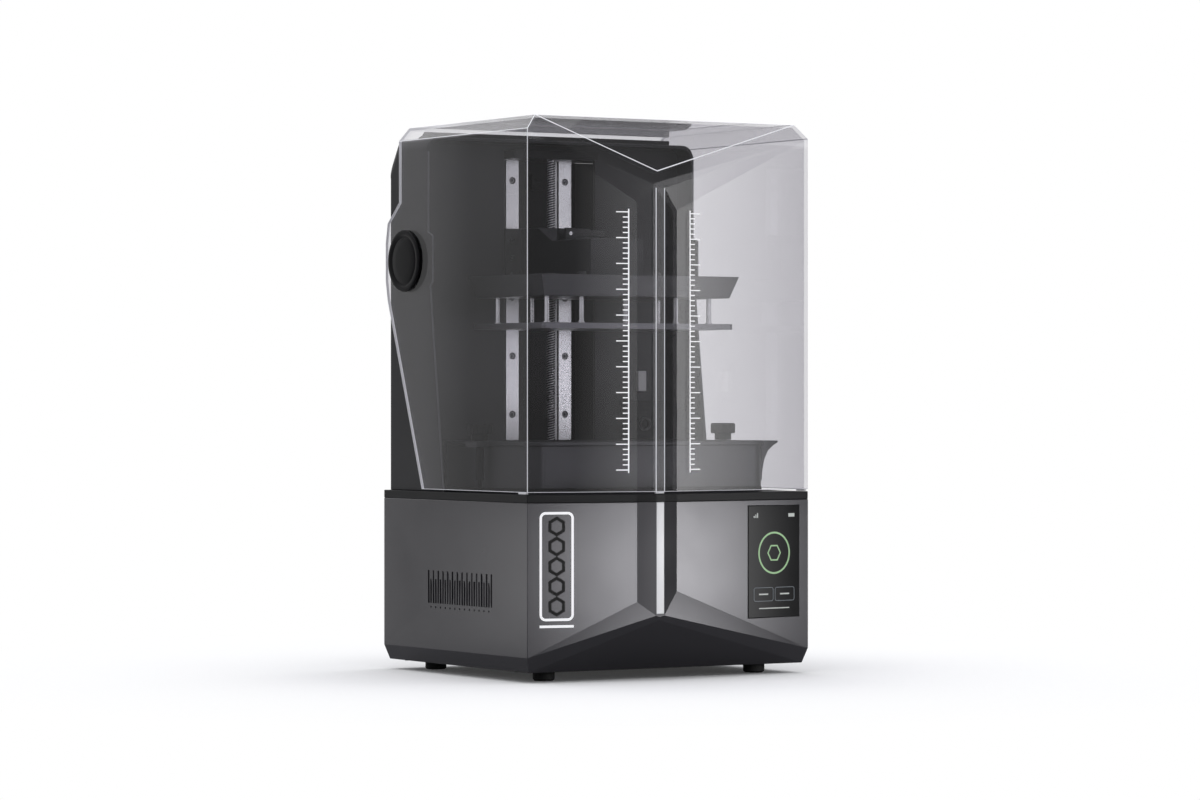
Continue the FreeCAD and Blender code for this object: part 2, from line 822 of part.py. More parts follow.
def socket_cuts():
    """Openings for the mains inlet, the switch and the data socket."""
    return [
        block(span("inlet_x", "inlet_width"), REAR_WALL, span(INLET_Z, "inlet_height")),
        block(span("switch_x", "switch_width"), REAR_WALL, span(INLET_Z, "switch_height")),
        block(
            (f"{HALF} - 2 * shell_wall", f"{HALF} + shell_wall"),
            span(USB_Y, "usb_width"),
            span(USB_Z, "usb_height"),
        ),
    ]


STRIP_X = (f"{RIDGE_LEFT} + strip_margin", f"{RIDGE_RIGHT} - strip_margin")
STRIP_FOOT = f"({STRIP_Z} + strip_thickness)"


def base_shell_shape():
    """The faceted housing with its hollow and every opening."""
    shell = prism(ENVELOPE, "foot_height", SHELL_TOP)
    for plane in base_planes():
        shell = trimmed(shell, plane)
    corner_to_top = value("shell_height")
    wedges = facet_wedges(
        SKIRT_TOP, "foot_height + left_facet_rise", "foot_height + right_facet_rise", STRIP_Z, corner_to_top
    )
    groove = block(STRIP_X, (f"{RIDGE_Y} - strip_thickness", f"{RIDGE_Y} + strip_thickness"),
                   (STRIP_FOOT, f"{DECK_TOP}"))
    openings = [base_hollow(), groove] + screen_cuts() + vent_cuts() + grille_cuts() + socket_cuts()
    return shell.cut(wedges + openings)


base_shell = feature("base_shell", base_shell_shape())

# Bright strip let into the ridge.
front_spine_strip = box("front_spine_strip", STRIP_X, (RIDGE_Y, f"{RIDGE_Y} + strip_thickness"),
                        (STRIP_FOOT, SHELL_TOP))

# Bottom pan: a flat floor inside the skirt, with an intake under the lamp's fan.
PAN_HALF = f"({HALF} - skirt_inset - 1.1 * shell_wall - trim_clearance)"
PAN_FRONT = f"({CORNER_Y} + skirt_inset + 1.4 * shell_wall + trim_clearance)"
PAN_BACK = f"({BACK_Y} - skirt_inset - 1.1 * shell_wall - trim_clearance)"
pan_plate = extruded("pan_plate", "XY_Plane", rectangle((f"-{PAN_HALF}", PAN_HALF), (PAN_FRONT, PAN_BACK)),
                     "foot_height", "pan_thickness")
pan_intake = rod("pan_intake", "z", ("0", f"{PAN_TOP} + pan_thickness"), "lamp_fan_width / 2 - fan_rim",
                 "0", BED_Y)
pan_bar_long = box("pan_bar_long", span("0", "lamp_fan_width"), span(BED_Y, "fan_strut_width"),
                   ("foot_height", PAN_TOP))
pan_bar_cross = box("pan_bar_cross", span("0", "fan_strut_width"), span(BED_Y, "lamp_fan_width"),
                    ("foot_height", PAN_TOP))
bottom_pan = join("bottom_pan", cut("pan_opened", pan_plate, pan_intake), pan_bar_long, pan_bar_cross)

# Four rubber feet under the pan.
foot = turned("foot", [
    ("0", "0"),
    ("foot_radius - foot_taper", "0"),
    ("foot_radius", "foot_taper"),
    ("foot_radius", "foot_height"),
    ("0", "foot_height"),
])
FOOT_X = f"({HALF} - foot_side_inset)"
rubber_feet = group("rubber_feet", *copies("foot_at", foot, [
    (f"{sign}{FOOT_X}", y, "0")
    for sign in ("-", "")
    for y in (f"{CORNER_Y} + foot_front_inset", f"{BACK_Y} - foot_back_inset")
]))

# Touch screen: a glass set in the right facet, bonded to its display module behind the window.
screen_glass = box("screen_plate", SCREEN_X, ("-screen_proud", SCREEN_BACK), SCREEN_Z)
screen_module = box(
    "screen_module",
    (f"{SCREEN_X[0]} + screen_border + trim_clearance", f"{SCREEN_X[1]} - screen_border - trim_clearance"),
    (SCREEN_BACK, f"{SCREEN_BACK} + module_thickness"),
    (f"{SCREEN_Z[0]} + screen_border + trim_clearance", f"{SCREEN_Z[1]} - screen_border - trim_clearance"),
)


touchscreen = doc.addObject("Part::Compound", "touchscreen")
touchscreen.Links = [join("screen_bonded", screen_glass, screen_module)]
touchscreen.Placement = FreeCAD.Placement(FreeCAD.Vector(), FreeCAD.Rotation(FreeCAD.Vector(0, 0, 1), 1))
bind(touchscreen, ".Placement.Rotation.Angle", SCREEN_ANGLE)
move(touchscreen, HALF, CORNER_Y, "0")

# Deck: the dark top cover, open round the tilt plate and the lift.
deck_frame = extruded("deck_frame", "XY_Plane", PLAN, SHELL_TOP, "deck_thickness")
deck_hole = sketch(deck_frame, "XY_Plane", "deck_hole", DECK_TOP)
DECK_HOLE_Y = (f"{BED_Y} - tilt_depth / 2 - tilt_gap", f"{BED_Y} + tilt_depth / 2 + tilt_gap")
LIFT_HOLE_HALF = "(axis_opening_width / 2)"
LIFT_HOLE_BACK = f"({HOUSING_BACK} - housing_wall - trim_clearance)"
outline(deck_hole, [
    (f"-{DECK_HOLE_HALF}", DECK_HOLE_Y[0]),
    (DECK_HOLE_HALF, DECK_HOLE_Y[0]),
    (DECK_HOLE_HALF, DECK_HOLE_Y[1]),
    (LIFT_HOLE_HALF, DECK_HOLE_Y[1]),
    (LIFT_HOLE_HALF, LIFT_HOLE_BACK),
    (f"-{LIFT_HOLE_HALF}", LIFT_HOLE_BACK),
    (f"-{LIFT_HOLE_HALF}", DECK_HOLE_Y[1]),
    (f"-{DECK_HOLE_HALF}", DECK_HOLE_Y[1]),
])
pocket(deck_frame, deck_hole, "deck_thickness")

# Chassis: a steel plate on four pillars, which carries the lift, the tilt hinge and the light engine.
chassis_top = extruded(
    "chassis_top", "XY_Plane",
    rectangle((f"-{CHASSIS_HALF}", CHASSIS_HALF), (CHASSIS_FRONT, CHASSIS_BACK)),
    CHASSIS_BOTTOM, "chassis_thickness",
)
chassis_holes = sketch(chassis_top, "XY_Plane", "chassis_holes", CHASSIS_TOP)
outline(chassis_holes, rectangle(
    span("0", "window_width + 2 * part_clearance"), span(BED_Y, "window_depth + 2 * part_clearance")
))
circle(chassis_holes, "0", SCREW_Y, "motor_boss_radius + part_clearance")
circle(chassis_holes, ROD_X, BED_Y, "rod_radius + part_clearance")
pocket(chassis_top, chassis_holes, "chassis_thickness")

PILLAR_X = f"({CHASSIS_HALF} - pillar_inset)"
chassis_plate = join("chassis_plate", chassis_top, *[
    rod("pillar_%d" % index, "z", (PAN_TOP, CHASSIS_BOTTOM), "pillar_radius", x, y)
    for index, (x, y) in enumerate(
        (x, y)
        for x in (f"-{PILLAR_X}", PILLAR_X)
        for y in (f"{CHASSIS_FRONT} + pillar_inset", f"{CHASSIS_BACK} - pillar_inset")
    )
])

# Light engine: lamp board on a finned heatsink over a fan, a funnel, and a lens sheet on top.
uv_lens = box("uv_lens", span("0", "window_width"), span(BED_Y, "window_depth"),
              (CHASSIS_BOTTOM, f"{CHASSIS_BOTTOM} + lens_thickness"))


def funnel(inward):
    """A block that narrows from the lens window down to the lamp board, moved in by a wall."""
    window = (f"(window_width / 2 - {inward})", f"(window_depth / 2 - {inward})")
    board = (f"(led_width / 2 - {inward})", f"(led_depth / 2 - {inward})")
    across = (f"-{window[0]}", window[0])
    along = (f"{BED_Y} - {window[1]}", f"{BED_Y} + {window[1]}")
    shape = block(across, along, (LED_TOP, SHROUD_TOP))
    for sign in ("-", ""):
        shape = trimmed(shape, [
            point(f"{sign}{board[0]}", BED_Y, LED_TOP),
            point(f"{sign}{board[0]}", f"{BED_Y} + 1", LED_TOP),
            point(f"{sign}{window[0]}", BED_Y, SHROUD_TOP),
        ])
        shape = trimmed(shape, [
            point("0", f"{BED_Y} + ({sign}{board[1]})", LED_TOP),
            point("1", f"{BED_Y} + ({sign}{board[1]})", LED_TOP),
            point("0", f"{BED_Y} + ({sign}{window[1]})", SHROUD_TOP),
        ])
    return shape


def light_shroud_shape():
    """The funnel with its flange under the chassis plate."""
    flange = block(span("0", "window_width + 2 * shroud_flange"),
                   span(BED_Y, "window_depth + 2 * shroud_flange"),
                   (f"{SHROUD_TOP} - shroud_flange_thickness", SHROUD_TOP))
    return flange.fuse(funnel("0")).cut(funnel("shroud_wall")).removeSplitter()


light_shroud = feature("light_shroud", light_shroud_shape())

uv_led_board = box("uv_led_board", span("0", "led_width"), span(BED_Y, "led_depth"), (LED_BOTTOM, LED_TOP))

uv_heatsink = doc.addObject("PartDesign::Body", "uv_heatsink")
heatsink_base = sketch(uv_heatsink, "XY_Plane", "heatsink_base_outline", f"{LED_BOTTOM} - heatsink_base")
outline(heatsink_base, rectangle(span("0", "led_width"), span(BED_Y, "led_depth")))
pad(uv_heatsink, heatsink_base, "heatsink_base")
heatsink_fin = sketch(uv_heatsink, "XY_Plane", "heatsink_fin_outline", f"{LED_BOTTOM} - heatsink_height")
outline(heatsink_fin, rectangle(
    ("-led_width / 2", "-led_width / 2 + fin_thickness"), span(BED_Y, "led_depth")
))
fin = pad(uv_heatsink, heatsink_fin, "heatsink_height - heatsink_base")
fins = uv_heatsink.newObject("PartDesign::LinearPattern", "heatsink_fins")
fins.Originals = [fin]
fins.Direction = (heatsink_fin, ["H_Axis"])
bind(fins, "Length", "led_width - fin_thickness")
bind(fins, "Occurrences", "fin_count")
uv_heatsink.Tip = fins


# Fans: a square frame with a cross of struts, and a bladed rotor on the frame's pin.
def fan(prefix, width, depth):
    """The frame and the rotor of a fan that lies flat about the origin, with its struts below."""
    reach = f"({width} / 2 - fan_rim)"
    hub = f"({width} / 2 * fan_hub_share)"
    frame_box = box(prefix + "_square", span("0", width), span("0", width), ("0", depth))
    tunnel = rod(prefix + "_tunnel", "z", ("-1", f"{depth} + 1"), reach, "0", "0")
    struts = [
        box(prefix + "_strut_long", span("0", width), span("0", "fan_strut_width"),
            ("0", "fan_strut_thickness")),
        box(prefix + "_strut_cross", span("0", "fan_strut_width"), span("0", width),
            ("0", "fan_strut_thickness")),
    ]
    middle = rod(prefix + "_middle", "z", ("0", "fan_strut_thickness"), hub, "0", "0")
    pin = rod(prefix + "_pin", "z", ("0", f"{depth} / 2"), "fan_pin_radius", "0", "0")
    frame = join(prefix + "_frame_solid", cut(prefix + "_ring", frame_box, tunnel), *struts, middle, pin)
    low = "(fan_strut_thickness + part_clearance)"
    high = f"({depth} - part_clearance)"
    hub_solid = cut(
        prefix + "_hub",
        rod(prefix + "_hub_solid", "z", (low, high), hub, "0", "0"),
        rod(prefix + "_hub_bore", "z", ("0", f"{depth} / 2 + part_clearance"),
            "fan_pin_radius + running_clearance", "0", "0"),
    )
    blades = []
    count = round(value("blade_count"))
    for index in range(count):
        blade = box(
            f"{prefix}_blade_{index}",
            ("0", f"{reach} - fan_tip_clearance"),
            span("0", "blade_thickness"),
            span("0", f"({depth} - fan_strut_thickness) * 0.9"),
        )
        around = FreeCAD.Rotation(FreeCAD.Vector(0, 0, 1), 360.0 * index / count)
        pitch = FreeCAD.Rotation(FreeCAD.Vector(1, 0, 0), value("blade_pitch"))
        blade.setExpression(".Placement.Base.x", None)
        for axis in "xyz":
            blade.setExpression(".Placement.Base." + axis, None)
        centre = FreeCAD.Placement(FreeCAD.Vector(0, 0, value(f"({low} + {high}) / 2")), around * pitch)
        below = value(f"({depth} - fan_strut_thickness) * 0.45")
        corner = FreeCAD.Vector(0, -value("blade_thickness") / 2, -below)
        blade.Placement = centre * FreeCAD.Placement(corner, FreeCAD.Rotation())
        blades.append(blade)
    swept = join(prefix + "_blades", *blades)
    trimmer = cut(
        prefix + "_blade_space",
        rod(prefix + "_blade_reach", "z", (low, high), f"{reach} - fan_tip_clearance", "0", "0"),
        rod(prefix + "_blade_core", "z", ("0", depth), f"{hub} - part_clearance", "0", "0"),
    )
    kept = doc.addObject("Part::Common", prefix + "_blades_kept")
    kept.Base = swept
    kept.Tool = trimmer
    return frame, join(prefix + "_rotor_solid", hub_solid, kept)


def stood(name, piece, turn, x, y, z):
    """A sub-part drawn about the origin, turned and moved to its place."""
    placed = doc.addObject("Part::Compound", name)
    placed.Links = [piece]
    placed.Placement = FreeCAD.Placement(FreeCAD.Vector(), turn)
    move(placed, x, y, z)
    return placed


lamp_frame, lamp_rotor = fan("lamp_fan", "lamp_fan_width", "lamp_fan_depth")
uv_fan_frame = stood("uv_fan_frame", lamp_frame, AXIS_TURNS["z"], "0", BED_Y, PAN_TOP)
uv_fan_rotor = stood("uv_fan_rotor", lamp_rotor, AXIS_TURNS["z"], "0", BED_Y, PAN_TOP)

FACING_BACK = FreeCAD.Rotation(FreeCAD.Vector(1, 0, 0), -90)
REAR_FAN_Y = f"({BACK_Y} - shell_wall - rear_fan_depth)"
exhaust_frame, exhaust_rotor = fan("exhaust_fan", "rear_fan_width", "rear_fan_depth")
rear_fan_frame = stood("rear_fan_frame", exhaust_frame, FACING_BACK, "rear_fan_x", REAR_FAN_Y, REAR_FAN_Z)
rear_fan_rotor = stood("rear_fan_rotor", exhaust_rotor, FACING_BACK, "rear_fan_x", REAR_FAN_Y, REAR_FAN_Z)

# Mainboard on standoffs, and the power supply, both screwed to the pan.
BOARD_X = (f"{PAN_HALF} - board_side_gap - board_width", f"{PAN_HALF} - board_side_gap")
BOARD_Y = span(BED_Y, "board_depth")
BOARD_BOTTOM = f"({PAN_TOP} + board_standoff)"
board_pieces = [box("board_sheet", BOARD_X, BOARD_Y, (BOARD_BOTTOM, f"{BOARD_BOTTOM} + board_thickness"))]
for index, (x, y) in enumerate((x, y) for x in (0, 1) for y in (0, 1)):
    board_pieces.append(rod(
        "board_post_%d" % index, "z", (PAN_TOP, BOARD_BOTTOM), "board_standoff / 2",
        f"{BOARD_X[x]} + {1 - 2 * x} * board_standoff", f"{BOARD_Y[y]} + {1 - 2 * y} * board_standoff",
    ))
for index, share in enumerate((-0.25, 0.05, 0.3)):
    board_pieces.append(box(
        "board_chip_%d" % index,
        span(f"({BOARD_X[0]} + {BOARD_X[1]}) / 2", "board_width / 4"),
        span(f"{BED_Y} + {share} * board_depth", "board_width / 4"),
        (BOARD_BOTTOM, f"{BOARD_BOTTOM} + board_standoff"),
    ))
mainboard = join("mainboard", *board_pieces)

SUPPLY_X = (f"-{PAN_HALF} + supply_side_gap", f"-{PAN_HALF} + supply_side_gap + supply_width")
power_supply = box("power_supply", SUPPLY_X, (f"{BED_Y}", f"{BED_Y} + supply_depth"),
                   (PAN_TOP, f"{PAN_TOP} + supply_height"))

# Mains inlet: a flanged socket with three blades, pressed into the rear wall.
INLET_FACE = f"({BACK_Y} + rear_proud)"
inlet_flange = box("inlet_flange_plate", span("inlet_x", "inlet_width + 2 * inlet_flange"),
                   (BACK_Y, INLET_FACE), span(INLET_Z, "inlet_height + 2 * inlet_flange"))
inlet_can = box("inlet_can", span("inlet_x", "inlet_width"), (f"{INLET_FACE} - inlet_depth", INLET_FACE),
                span(INLET_Z, "inlet_height"))
inlet_mouth = box("inlet_mouth", span("inlet_x", "inlet_width - 2 * inlet_wall"),
                  (f"{INLET_FACE} - inlet_cavity", f"{INLET_FACE} + 1"),
                  span(INLET_Z, "inlet_height - 2 * inlet_wall"))
inlet_blades = [
    box(f"inlet_blade_{index}", span(f"inlet_x + {index - 1} * blade_pin_spacing", "blade_pin_width"),
        (f"{INLET_FACE} - inlet_cavity - 1", f"{INLET_FACE} - inlet_cavity + blade_pin_length"),
        span(INLET_Z, "blade_pin_height"))
    for index in range(3)
]
inlet_body = join("inlet_body", inlet_flange, inlet_can)
power_inlet = join("power_inlet", cut("inlet_socket", inlet_body, inlet_mouth),
                   *inlet_blades)

# Rocker switch: a bezel with a box behind it, and the rocker on its pin.
ROCKER_Y = f"({INLET_FACE} - rocker_pivot_depth)"
switch_bezel = box("switch_bezel", span("switch_x", "switch_width + 2 * switch_wall"), (BACK_Y, INLET_FACE),
                   span(INLET_Z, "switch_height + 2 * switch_wall"))
switch_can = box("switch_can", span("switch_x", "switch_width"), (f"{INLET_FACE} - switch_depth", INLET_FACE),
                 span(INLET_Z, "switch_height"))
switch_mouth = box("switch_mouth", span("switch_x", "switch_width - 2 * switch_wall"),
                   (f"{INLET_FACE} - switch_depth + switch_wall", f"{INLET_FACE} + 1"),
                   span(INLET_Z, "switch_height - 2 * switch_wall + 2 * part_clearance"))
switch_pin = rod("switch_pin", "x", span("switch_x", "switch_width - switch_wall"), "rocker_pin_radius",
                 ROCKER_Y, INLET_Z)
switch_body = join("switch_body", switch_bezel, switch_can)
power_switch_case = join("power_switch_case", cut("switch_shell", switch_body, switch_mouth), switch_pin)

rocker_front = extruded("rocker_front", "YZ_Plane", [
    ("-rocker_pivot_depth", "-rocker_pivot_depth"),
    ("rocker_pivot_depth - rocker_pin_radius", "-rocker_radius + 2 * switch_wall"),
    ("rocker_pivot_depth - 2 * rocker_pin_radius", "0"),
    ("rocker_pivot_depth - rocker_pin_radius", "rocker_radius - 2 * switch_wall"),
    ("-rocker_pivot_depth", "rocker_pivot_depth"),
], "-switch_width / 2 + switch_wall + part_clearance", "switch_width - 2 * switch_wall - 2 * part_clearance")
rocker_bore = rod("rocker_bore", "x", span("0", "switch_width"), "rocker_pin_radius + running_clearance",
                  "0", "0")
rocker_solid = cut("rocker_solid", rocker_front, rocker_bore)
power_switch_rocker = stood("power_switch_rocker", rocker_solid,
                            FreeCAD.Rotation(FreeCAD.Vector(1, 0, 0), -value("rocker_angle")),
                            "switch_x", ROCKER_Y, INLET_Z)

# Data socket in the right wall.
usb_can = box("usb_can", (f"{HALF} - usb_depth", HALF), span(USB_Y, "usb_width"), span(USB_Z, "usb_height"))
usb_mouth = box("usb_mouth", (f"{HALF} - usb_depth + usb_wall", f"{HALF} + 1"),
                span(USB_Y, "usb_width - 2 * usb_wall"), span(USB_Z, "usb_height - 2 * usb_wall"))
USB_KEY_FOOT = f"({USB_Z} - usb_height / 2 + 2 * usb_wall)"
usb_key = box("usb_key", (f"{HALF} - usb_depth", f"{HALF} - usb_depth / 3"),
              span(USB_Y, "usb_width - 4 * usb_wall"), (USB_KEY_FOOT, f"{USB_KEY_FOOT} + usb_tongue"))
usb_socket = join("usb_socket", cut("usb_shell", usb_can, usb_mouth), usb_key)

# Lift column on the chassis plate.
z_column = extruded("z_column", "XY_Plane", rectangle(span("0", "column_width"), (COLUMN_FRONT, COLUMN_BACK)),
                    CHASSIS_TOP, f"{COLUMN_TOP} - {CHASSIS_TOP}")

# Linear rails: grooved bars with a row of counterbored holes.
RAIL_BOTTOM = f"({DECK_TOP} + rail_foot_gap)"
rail = extruded("rail", "XY_Plane", [
    ("-rail_width / 2", "0"),
    ("rail_width / 2", "0"),
    ("rail_width / 2", "rail_height * 0.3"),
    ("rail_width / 2 - rail_groove", "rail_height * 0.42"),
    ("rail_width / 2 - rail_groove", "rail_height * 0.68"),
    ("rail_width / 2", "rail_height * 0.8"),
    ("rail_width / 2", "rail_height"),
    ("-rail_width / 2", "rail_height"),
    ("-rail_width / 2", "rail_height * 0.8"),
    ("-rail_width / 2 + rail_groove", "rail_height * 0.68"),
    ("-rail_width / 2 + rail_groove", "rail_height * 0.42"),
    ("-rail_width / 2", "rail_height * 0.3"),
], RAIL_BOTTOM, f"{COLUMN_TOP} - bridge_thickness - {RAIL_BOTTOM}")
rail_hole = sketch(rail, "XZ_Plane", "rail_hole_outline")
circle(rail_hole, "0", f"{RAIL_BOTTOM} + rail_hole_inset", "rail_hole_radius")
hole = pocket(rail, rail_hole, "rail_hole_depth")
rail_holes = rail.newObject("PartDesign::LinearPattern", "rail_holes")
rail_holes.Originals = [hole]
rail_holes.Direction = (rail_hole, ["V_Axis"])
bind(rail_holes, "Length", "rail_hole_pitch * (rail_hole_count - 1)")
bind(rail_holes, "Occurrences", "rail_hole_count")
rail.Tip = rail_holes
linear_rails = group("linear_rails", *copies("rail_at", rail, [
    (f"{sign}rail_spacing / 2", RAIL_FRONT, "0") for sign in ("-", "")
]))

# Bridge at the top of the column, with the lead screw's upper bearing.
BRIDGE_BOTTOM = f"({COLUMN_TOP} - bridge_thickness)"
bridge_bar = extruded("bridge_bar", "XY_Plane", rectangle(
    span("0", "column_width"), (f"{SCREW_Y} - bridge_front", COLUMN_FRONT)
), BRIDGE_BOTTOM, "bridge_thickness")
bridge_holes = sketch(bridge_bar, "XY_Plane", "bridge_holes", BRIDGE_BOTTOM)
circle(bridge_holes, "0", SCREW_Y, "bearing_radius")
pocket(bridge_bar, bridge_holes, "bearing_height", forwards=True)
top_bearing_bridge = bridge_bar
screw_bearing = cut(
    "screw_bearing",
    rod("bearing_ring", "z", (BRIDGE_BOTTOM, f"{BRIDGE_BOTTOM} + bearing_height"), "bearing_radius",
        "0", SCREW_Y),
    rod("bearing_bore", "z", (f"{BRIDGE_BOTTOM} - 1", f"{BRIDGE_BOTTOM} + bearing_height + 1"),
        "screw_radius + running_clearance", "0", SCREW_Y),
)

# Lead screw, and the coupling clamped on the motor's shaft, which turn together.
COUPLING_BOTTOM = f"({CHASSIS_TOP} + motor_boss_height)"
COUPLING_MIDDLE = f"({COUPLING_BOTTOM} + coupling_height / 2)"
COUPLING_TOP = f"({COUPLING_BOTTOM} + coupling_height)"
MOTOR_BOTTOM = f"({CHASSIS_BOTTOM} - motor_height)"
lead_screw = rod("lead_screw", "z", (COUPLING_MIDDLE, f"{BRIDGE_BOTTOM} + bearing_height - part_clearance"),
                 "screw_radius", "0", SCREW_Y)
motor_shaft = rod("motor_shaft", "z", (f"{MOTOR_BOTTOM} + motor_height / 2", COUPLING_MIDDLE),
                  "motor_shaft_radius", "0", SCREW_Y)
coupling_sleeve = cut(
    "coupling_sleeve",
    rod("coupling_solid", "z", (COUPLING_BOTTOM, COUPLING_TOP), "coupling_radius", "0", SCREW_Y),
    rod("coupling_bore", "z", (COUPLING_MIDDLE, f"{COUPLING_TOP} + 1"), "screw_radius", "0", SCREW_Y),
)
motor_coupling = join("motor_coupling", coupling_sleeve, motor_shaft)

# Lift motor: a square stepper with cut corners, hung under the chassis plate.
MOTOR_SIDE = "(motor_width / 2)"
MOTOR_CUT = "(motor_width / 2 - motor_chamfer)"
motor_body = extruded("motor_body", "XY_Plane", [
    (f"-{MOTOR_CUT}", f"{SCREW_Y} - {MOTOR_SIDE}"),
    (MOTOR_CUT, f"{SCREW_Y} - {MOTOR_SIDE}"),
    (MOTOR_SIDE, f"{SCREW_Y} - {MOTOR_CUT}"),
    (MOTOR_SIDE, f"{SCREW_Y} + {MOTOR_CUT}"),
    (MOTOR_CUT, f"{SCREW_Y} + {MOTOR_SIDE}"),
    (f"-{MOTOR_CUT}", f"{SCREW_Y} + {MOTOR_SIDE}"),
    (f"-{MOTOR_SIDE}", f"{SCREW_Y} + {MOTOR_CUT}"),
    (f"-{MOTOR_SIDE}", f"{SCREW_Y} - {MOTOR_CUT}"),
], MOTOR_BOTTOM, "motor_height")
motor_boss = rod("motor_boss", "z", (CHASSIS_BOTTOM, f"{CHASSIS_TOP}"), "motor_boss_radius", "0", SCREW_Y)
motor_bore = rod("motor_bore", "z", (f"{MOTOR_BOTTOM} + motor_height / 2 - 1", f"{CHASSIS_TOP} + 1"),
                 "motor_shaft_radius + running_clearance", "0", SCREW_Y)
z_motor = cut("z_motor", join("motor_solid", motor_body, motor_boss), motor_bore)

# Limit switch on the column, between the rails.
LIMIT_TOP = f"({BRIDGE_BOTTOM} - limit_drop)"
limit_switch = join(
    "limit_switch",
    box("limit_case", span("0", "limit_width"), (f"{COLUMN_FRONT} - limit_depth", COLUMN_FRONT),
        (f"{LIMIT_TOP} - limit_height", LIMIT_TOP)),
    box("limit_tongue", span("0", "limit_width / 3"),
        (f"{COLUMN_FRONT} - limit_depth - 2", f"{COLUMN_FRONT} - limit_depth"),
        (f"{LIMIT_TOP} - limit_height / 2", f"{LIMIT_TOP} - limit_height / 4")),
)

# Rear housing: two wings with a boss at the hinge, a panel between them, open round the lift, and a roof.
WING_TOP_Y = f"({HOUSING_BACK} - wing_depth)"
WING_KNEE_Y = f"({WING_TOP_Y} - wing_knee)"
WING_BOSS_Y = f"({WING_TOP_Y} - wing_boss_reach)"
WING_FOOT_Y = f"({WING_TOP_Y} - wing_foot)"
housing_side = extruded("housing_side", "YZ_Plane", [
    (WING_FOOT_Y, DECK_TOP),
    (HOUSING_BACK, DECK_TOP),
    (HOUSING_BACK, f"{HOUSING_TOP} - housing_back_drop"),
    (f"{HOUSING_BACK} - housing_back_chamfer", HOUSING_TOP),
    (WING_TOP_Y, HOUSING_TOP),
    (WING_TOP_Y, f"{HINGE_Z} + wing_boss_above + wing_boss_slope"),
    (WING_BOSS_Y, f"{HINGE_Z} + wing_boss_above"),
    (WING_BOSS_Y, f"{HINGE_Z} - wing_boss_below"),
    (WING_KNEE_Y, f"{HINGE_Z} - wing_boss_below - wing_boss_slope"),
], f"-{HOUSING_HALF}", f"2 * {HOUSING_HALF}")
TOP_CORNERS = f"({HOUSING_TOP} - housing_back_drop - housing_wall)"
rounded(housing_side, "housing_rounding", "housing_corner", lengthwise_above(TOP_CORNERS))
HOUSING_INNER = f"({HOUSING_HALF} - housing_wall)"
HOUSING_CEILING = f"({HOUSING_TOP} - housing_wall)"


def housing_room(name, y, ceiling, half):
    """A space inside the housing with rounded upper corners."""
    low = f"({DECK_TOP} - 1)"
    room = extruded(name, "XZ_Plane", rectangle((f"-{half}", half), (low, ceiling)), f"-({y[1]})",
                    f"({y[1]}) - ({y[0]})")
    rounded(room, name + "_rounding", "housing_corner - housing_wall",
            lengthwise_above(f"{ceiling} - housing_wall"))
    return room


chamber_room = housing_room("chamber_room", (f"{WING_FOOT_Y} - 1", PANEL_FRONT),
                            HOUSING_CEILING, HOUSING_INNER)
REAR_CEILING = f"({HOUSING_TOP} - housing_back_drop - housing_wall)"
service_room = housing_room("service_room", (PANEL_BACK, f"{HOUSING_BACK} + 1"), REAR_CEILING, HOUSING_INNER)
lift_opening = box("lift_opening", span("0", "axis_opening_width"),
                   (f"{PANEL_FRONT} - 1", f"{COLUMN_BACK} + part_clearance"), (f"{DECK_TOP} - 1", COLUMN_TOP))
hinge_hole = rod("hinge_hole", "x", (f"-{HOUSING_HALF} - 1", f"{HOUSING_HALF} + 1"),
                 "hinge_shaft_radius", HINGE_Y, HINGE_Z)
rear_housing = cut("rear_housing", housing_side, chamber_room, service_room, lift_opening, hinge_hole)

# Rear cover: a vented plate that closes the housing's back.
COVER_HALF = f"({HOUSING_INNER} - trim_clearance)"
COVER_TOP = f"({REAR_CEILING} - trim_clearance)"
rear_cover = extruded("rear_cover", "XZ_Plane", rectangle(
    (f"-{COVER_HALF}", COVER_HALF), (DECK_TOP, COVER_TOP)
), f"-{HOUSING_BACK}", "housing_wall")
rounded(rear_cover, "cover_rounding", "housing_corner - housing_wall",
        lengthwise_above(f"{COVER_TOP} - housing_wall"))
cover_slot = sketch(rear_cover, "XZ_Plane", "cover_slot_outline", f"-{HOUSING_BACK}")
COVER_SLOT_TOP = f"({COVER_TOP} - 4 * cover_margin)"
outline(cover_slot, rectangle(
    span("0", "cover_slot_length"), (f"{COVER_SLOT_TOP} - cover_slot_width", COVER_SLOT_TOP)
))
first_slot = pocket(rear_cover, cover_slot, "housing_wall", forwards=True)
cover_slots = rear_cover.newObject("PartDesign::LinearPattern", "cover_slots")
cover_slots.Originals = [first_slot]
cover_slots.Direction = (cover_slot, ["V_Axis"])
cover_slots.Reversed = True
bind(cover_slots, "Length", "cover_slot_pitch * (cover_slot_count - 1)")
bind(cover_slots, "Occurrences", "cover_slot_count")
rear_cover.Tip = cover_slots

# Camera and lamp on the front of the housing's right panel.
CAMERA_Z = (f"{DECK_TOP} + camera_rise", f"{DECK_TOP} + camera_rise + camera_height")
CAMERA_FRONT = f"({PANEL_FRONT} - camera_depth)"
LENS_Z = f"({CAMERA_Z[0]} + camera_lens_rise)"
camera_module = box("camera_module", span("camera_x", "camera_width"), (CAMERA_FRONT, PANEL_FRONT), CAMERA_Z)
camera_lens = rod("camera_lens", "y", (f"{CAMERA_FRONT} - camera_lens_depth", CAMERA_FRONT),
                  "camera_lens_radius", "camera_x", LENS_Z)
chamber_lamp = box("chamber_lamp", span("camera_x", "lamp_width"),
                   (f"{PANEL_FRONT} - lamp_depth", PANEL_FRONT),
                   (f"{CAMERA_Z[1]} + lamp_gap", f"{CAMERA_Z[1]} + lamp_gap + lamp_height"))

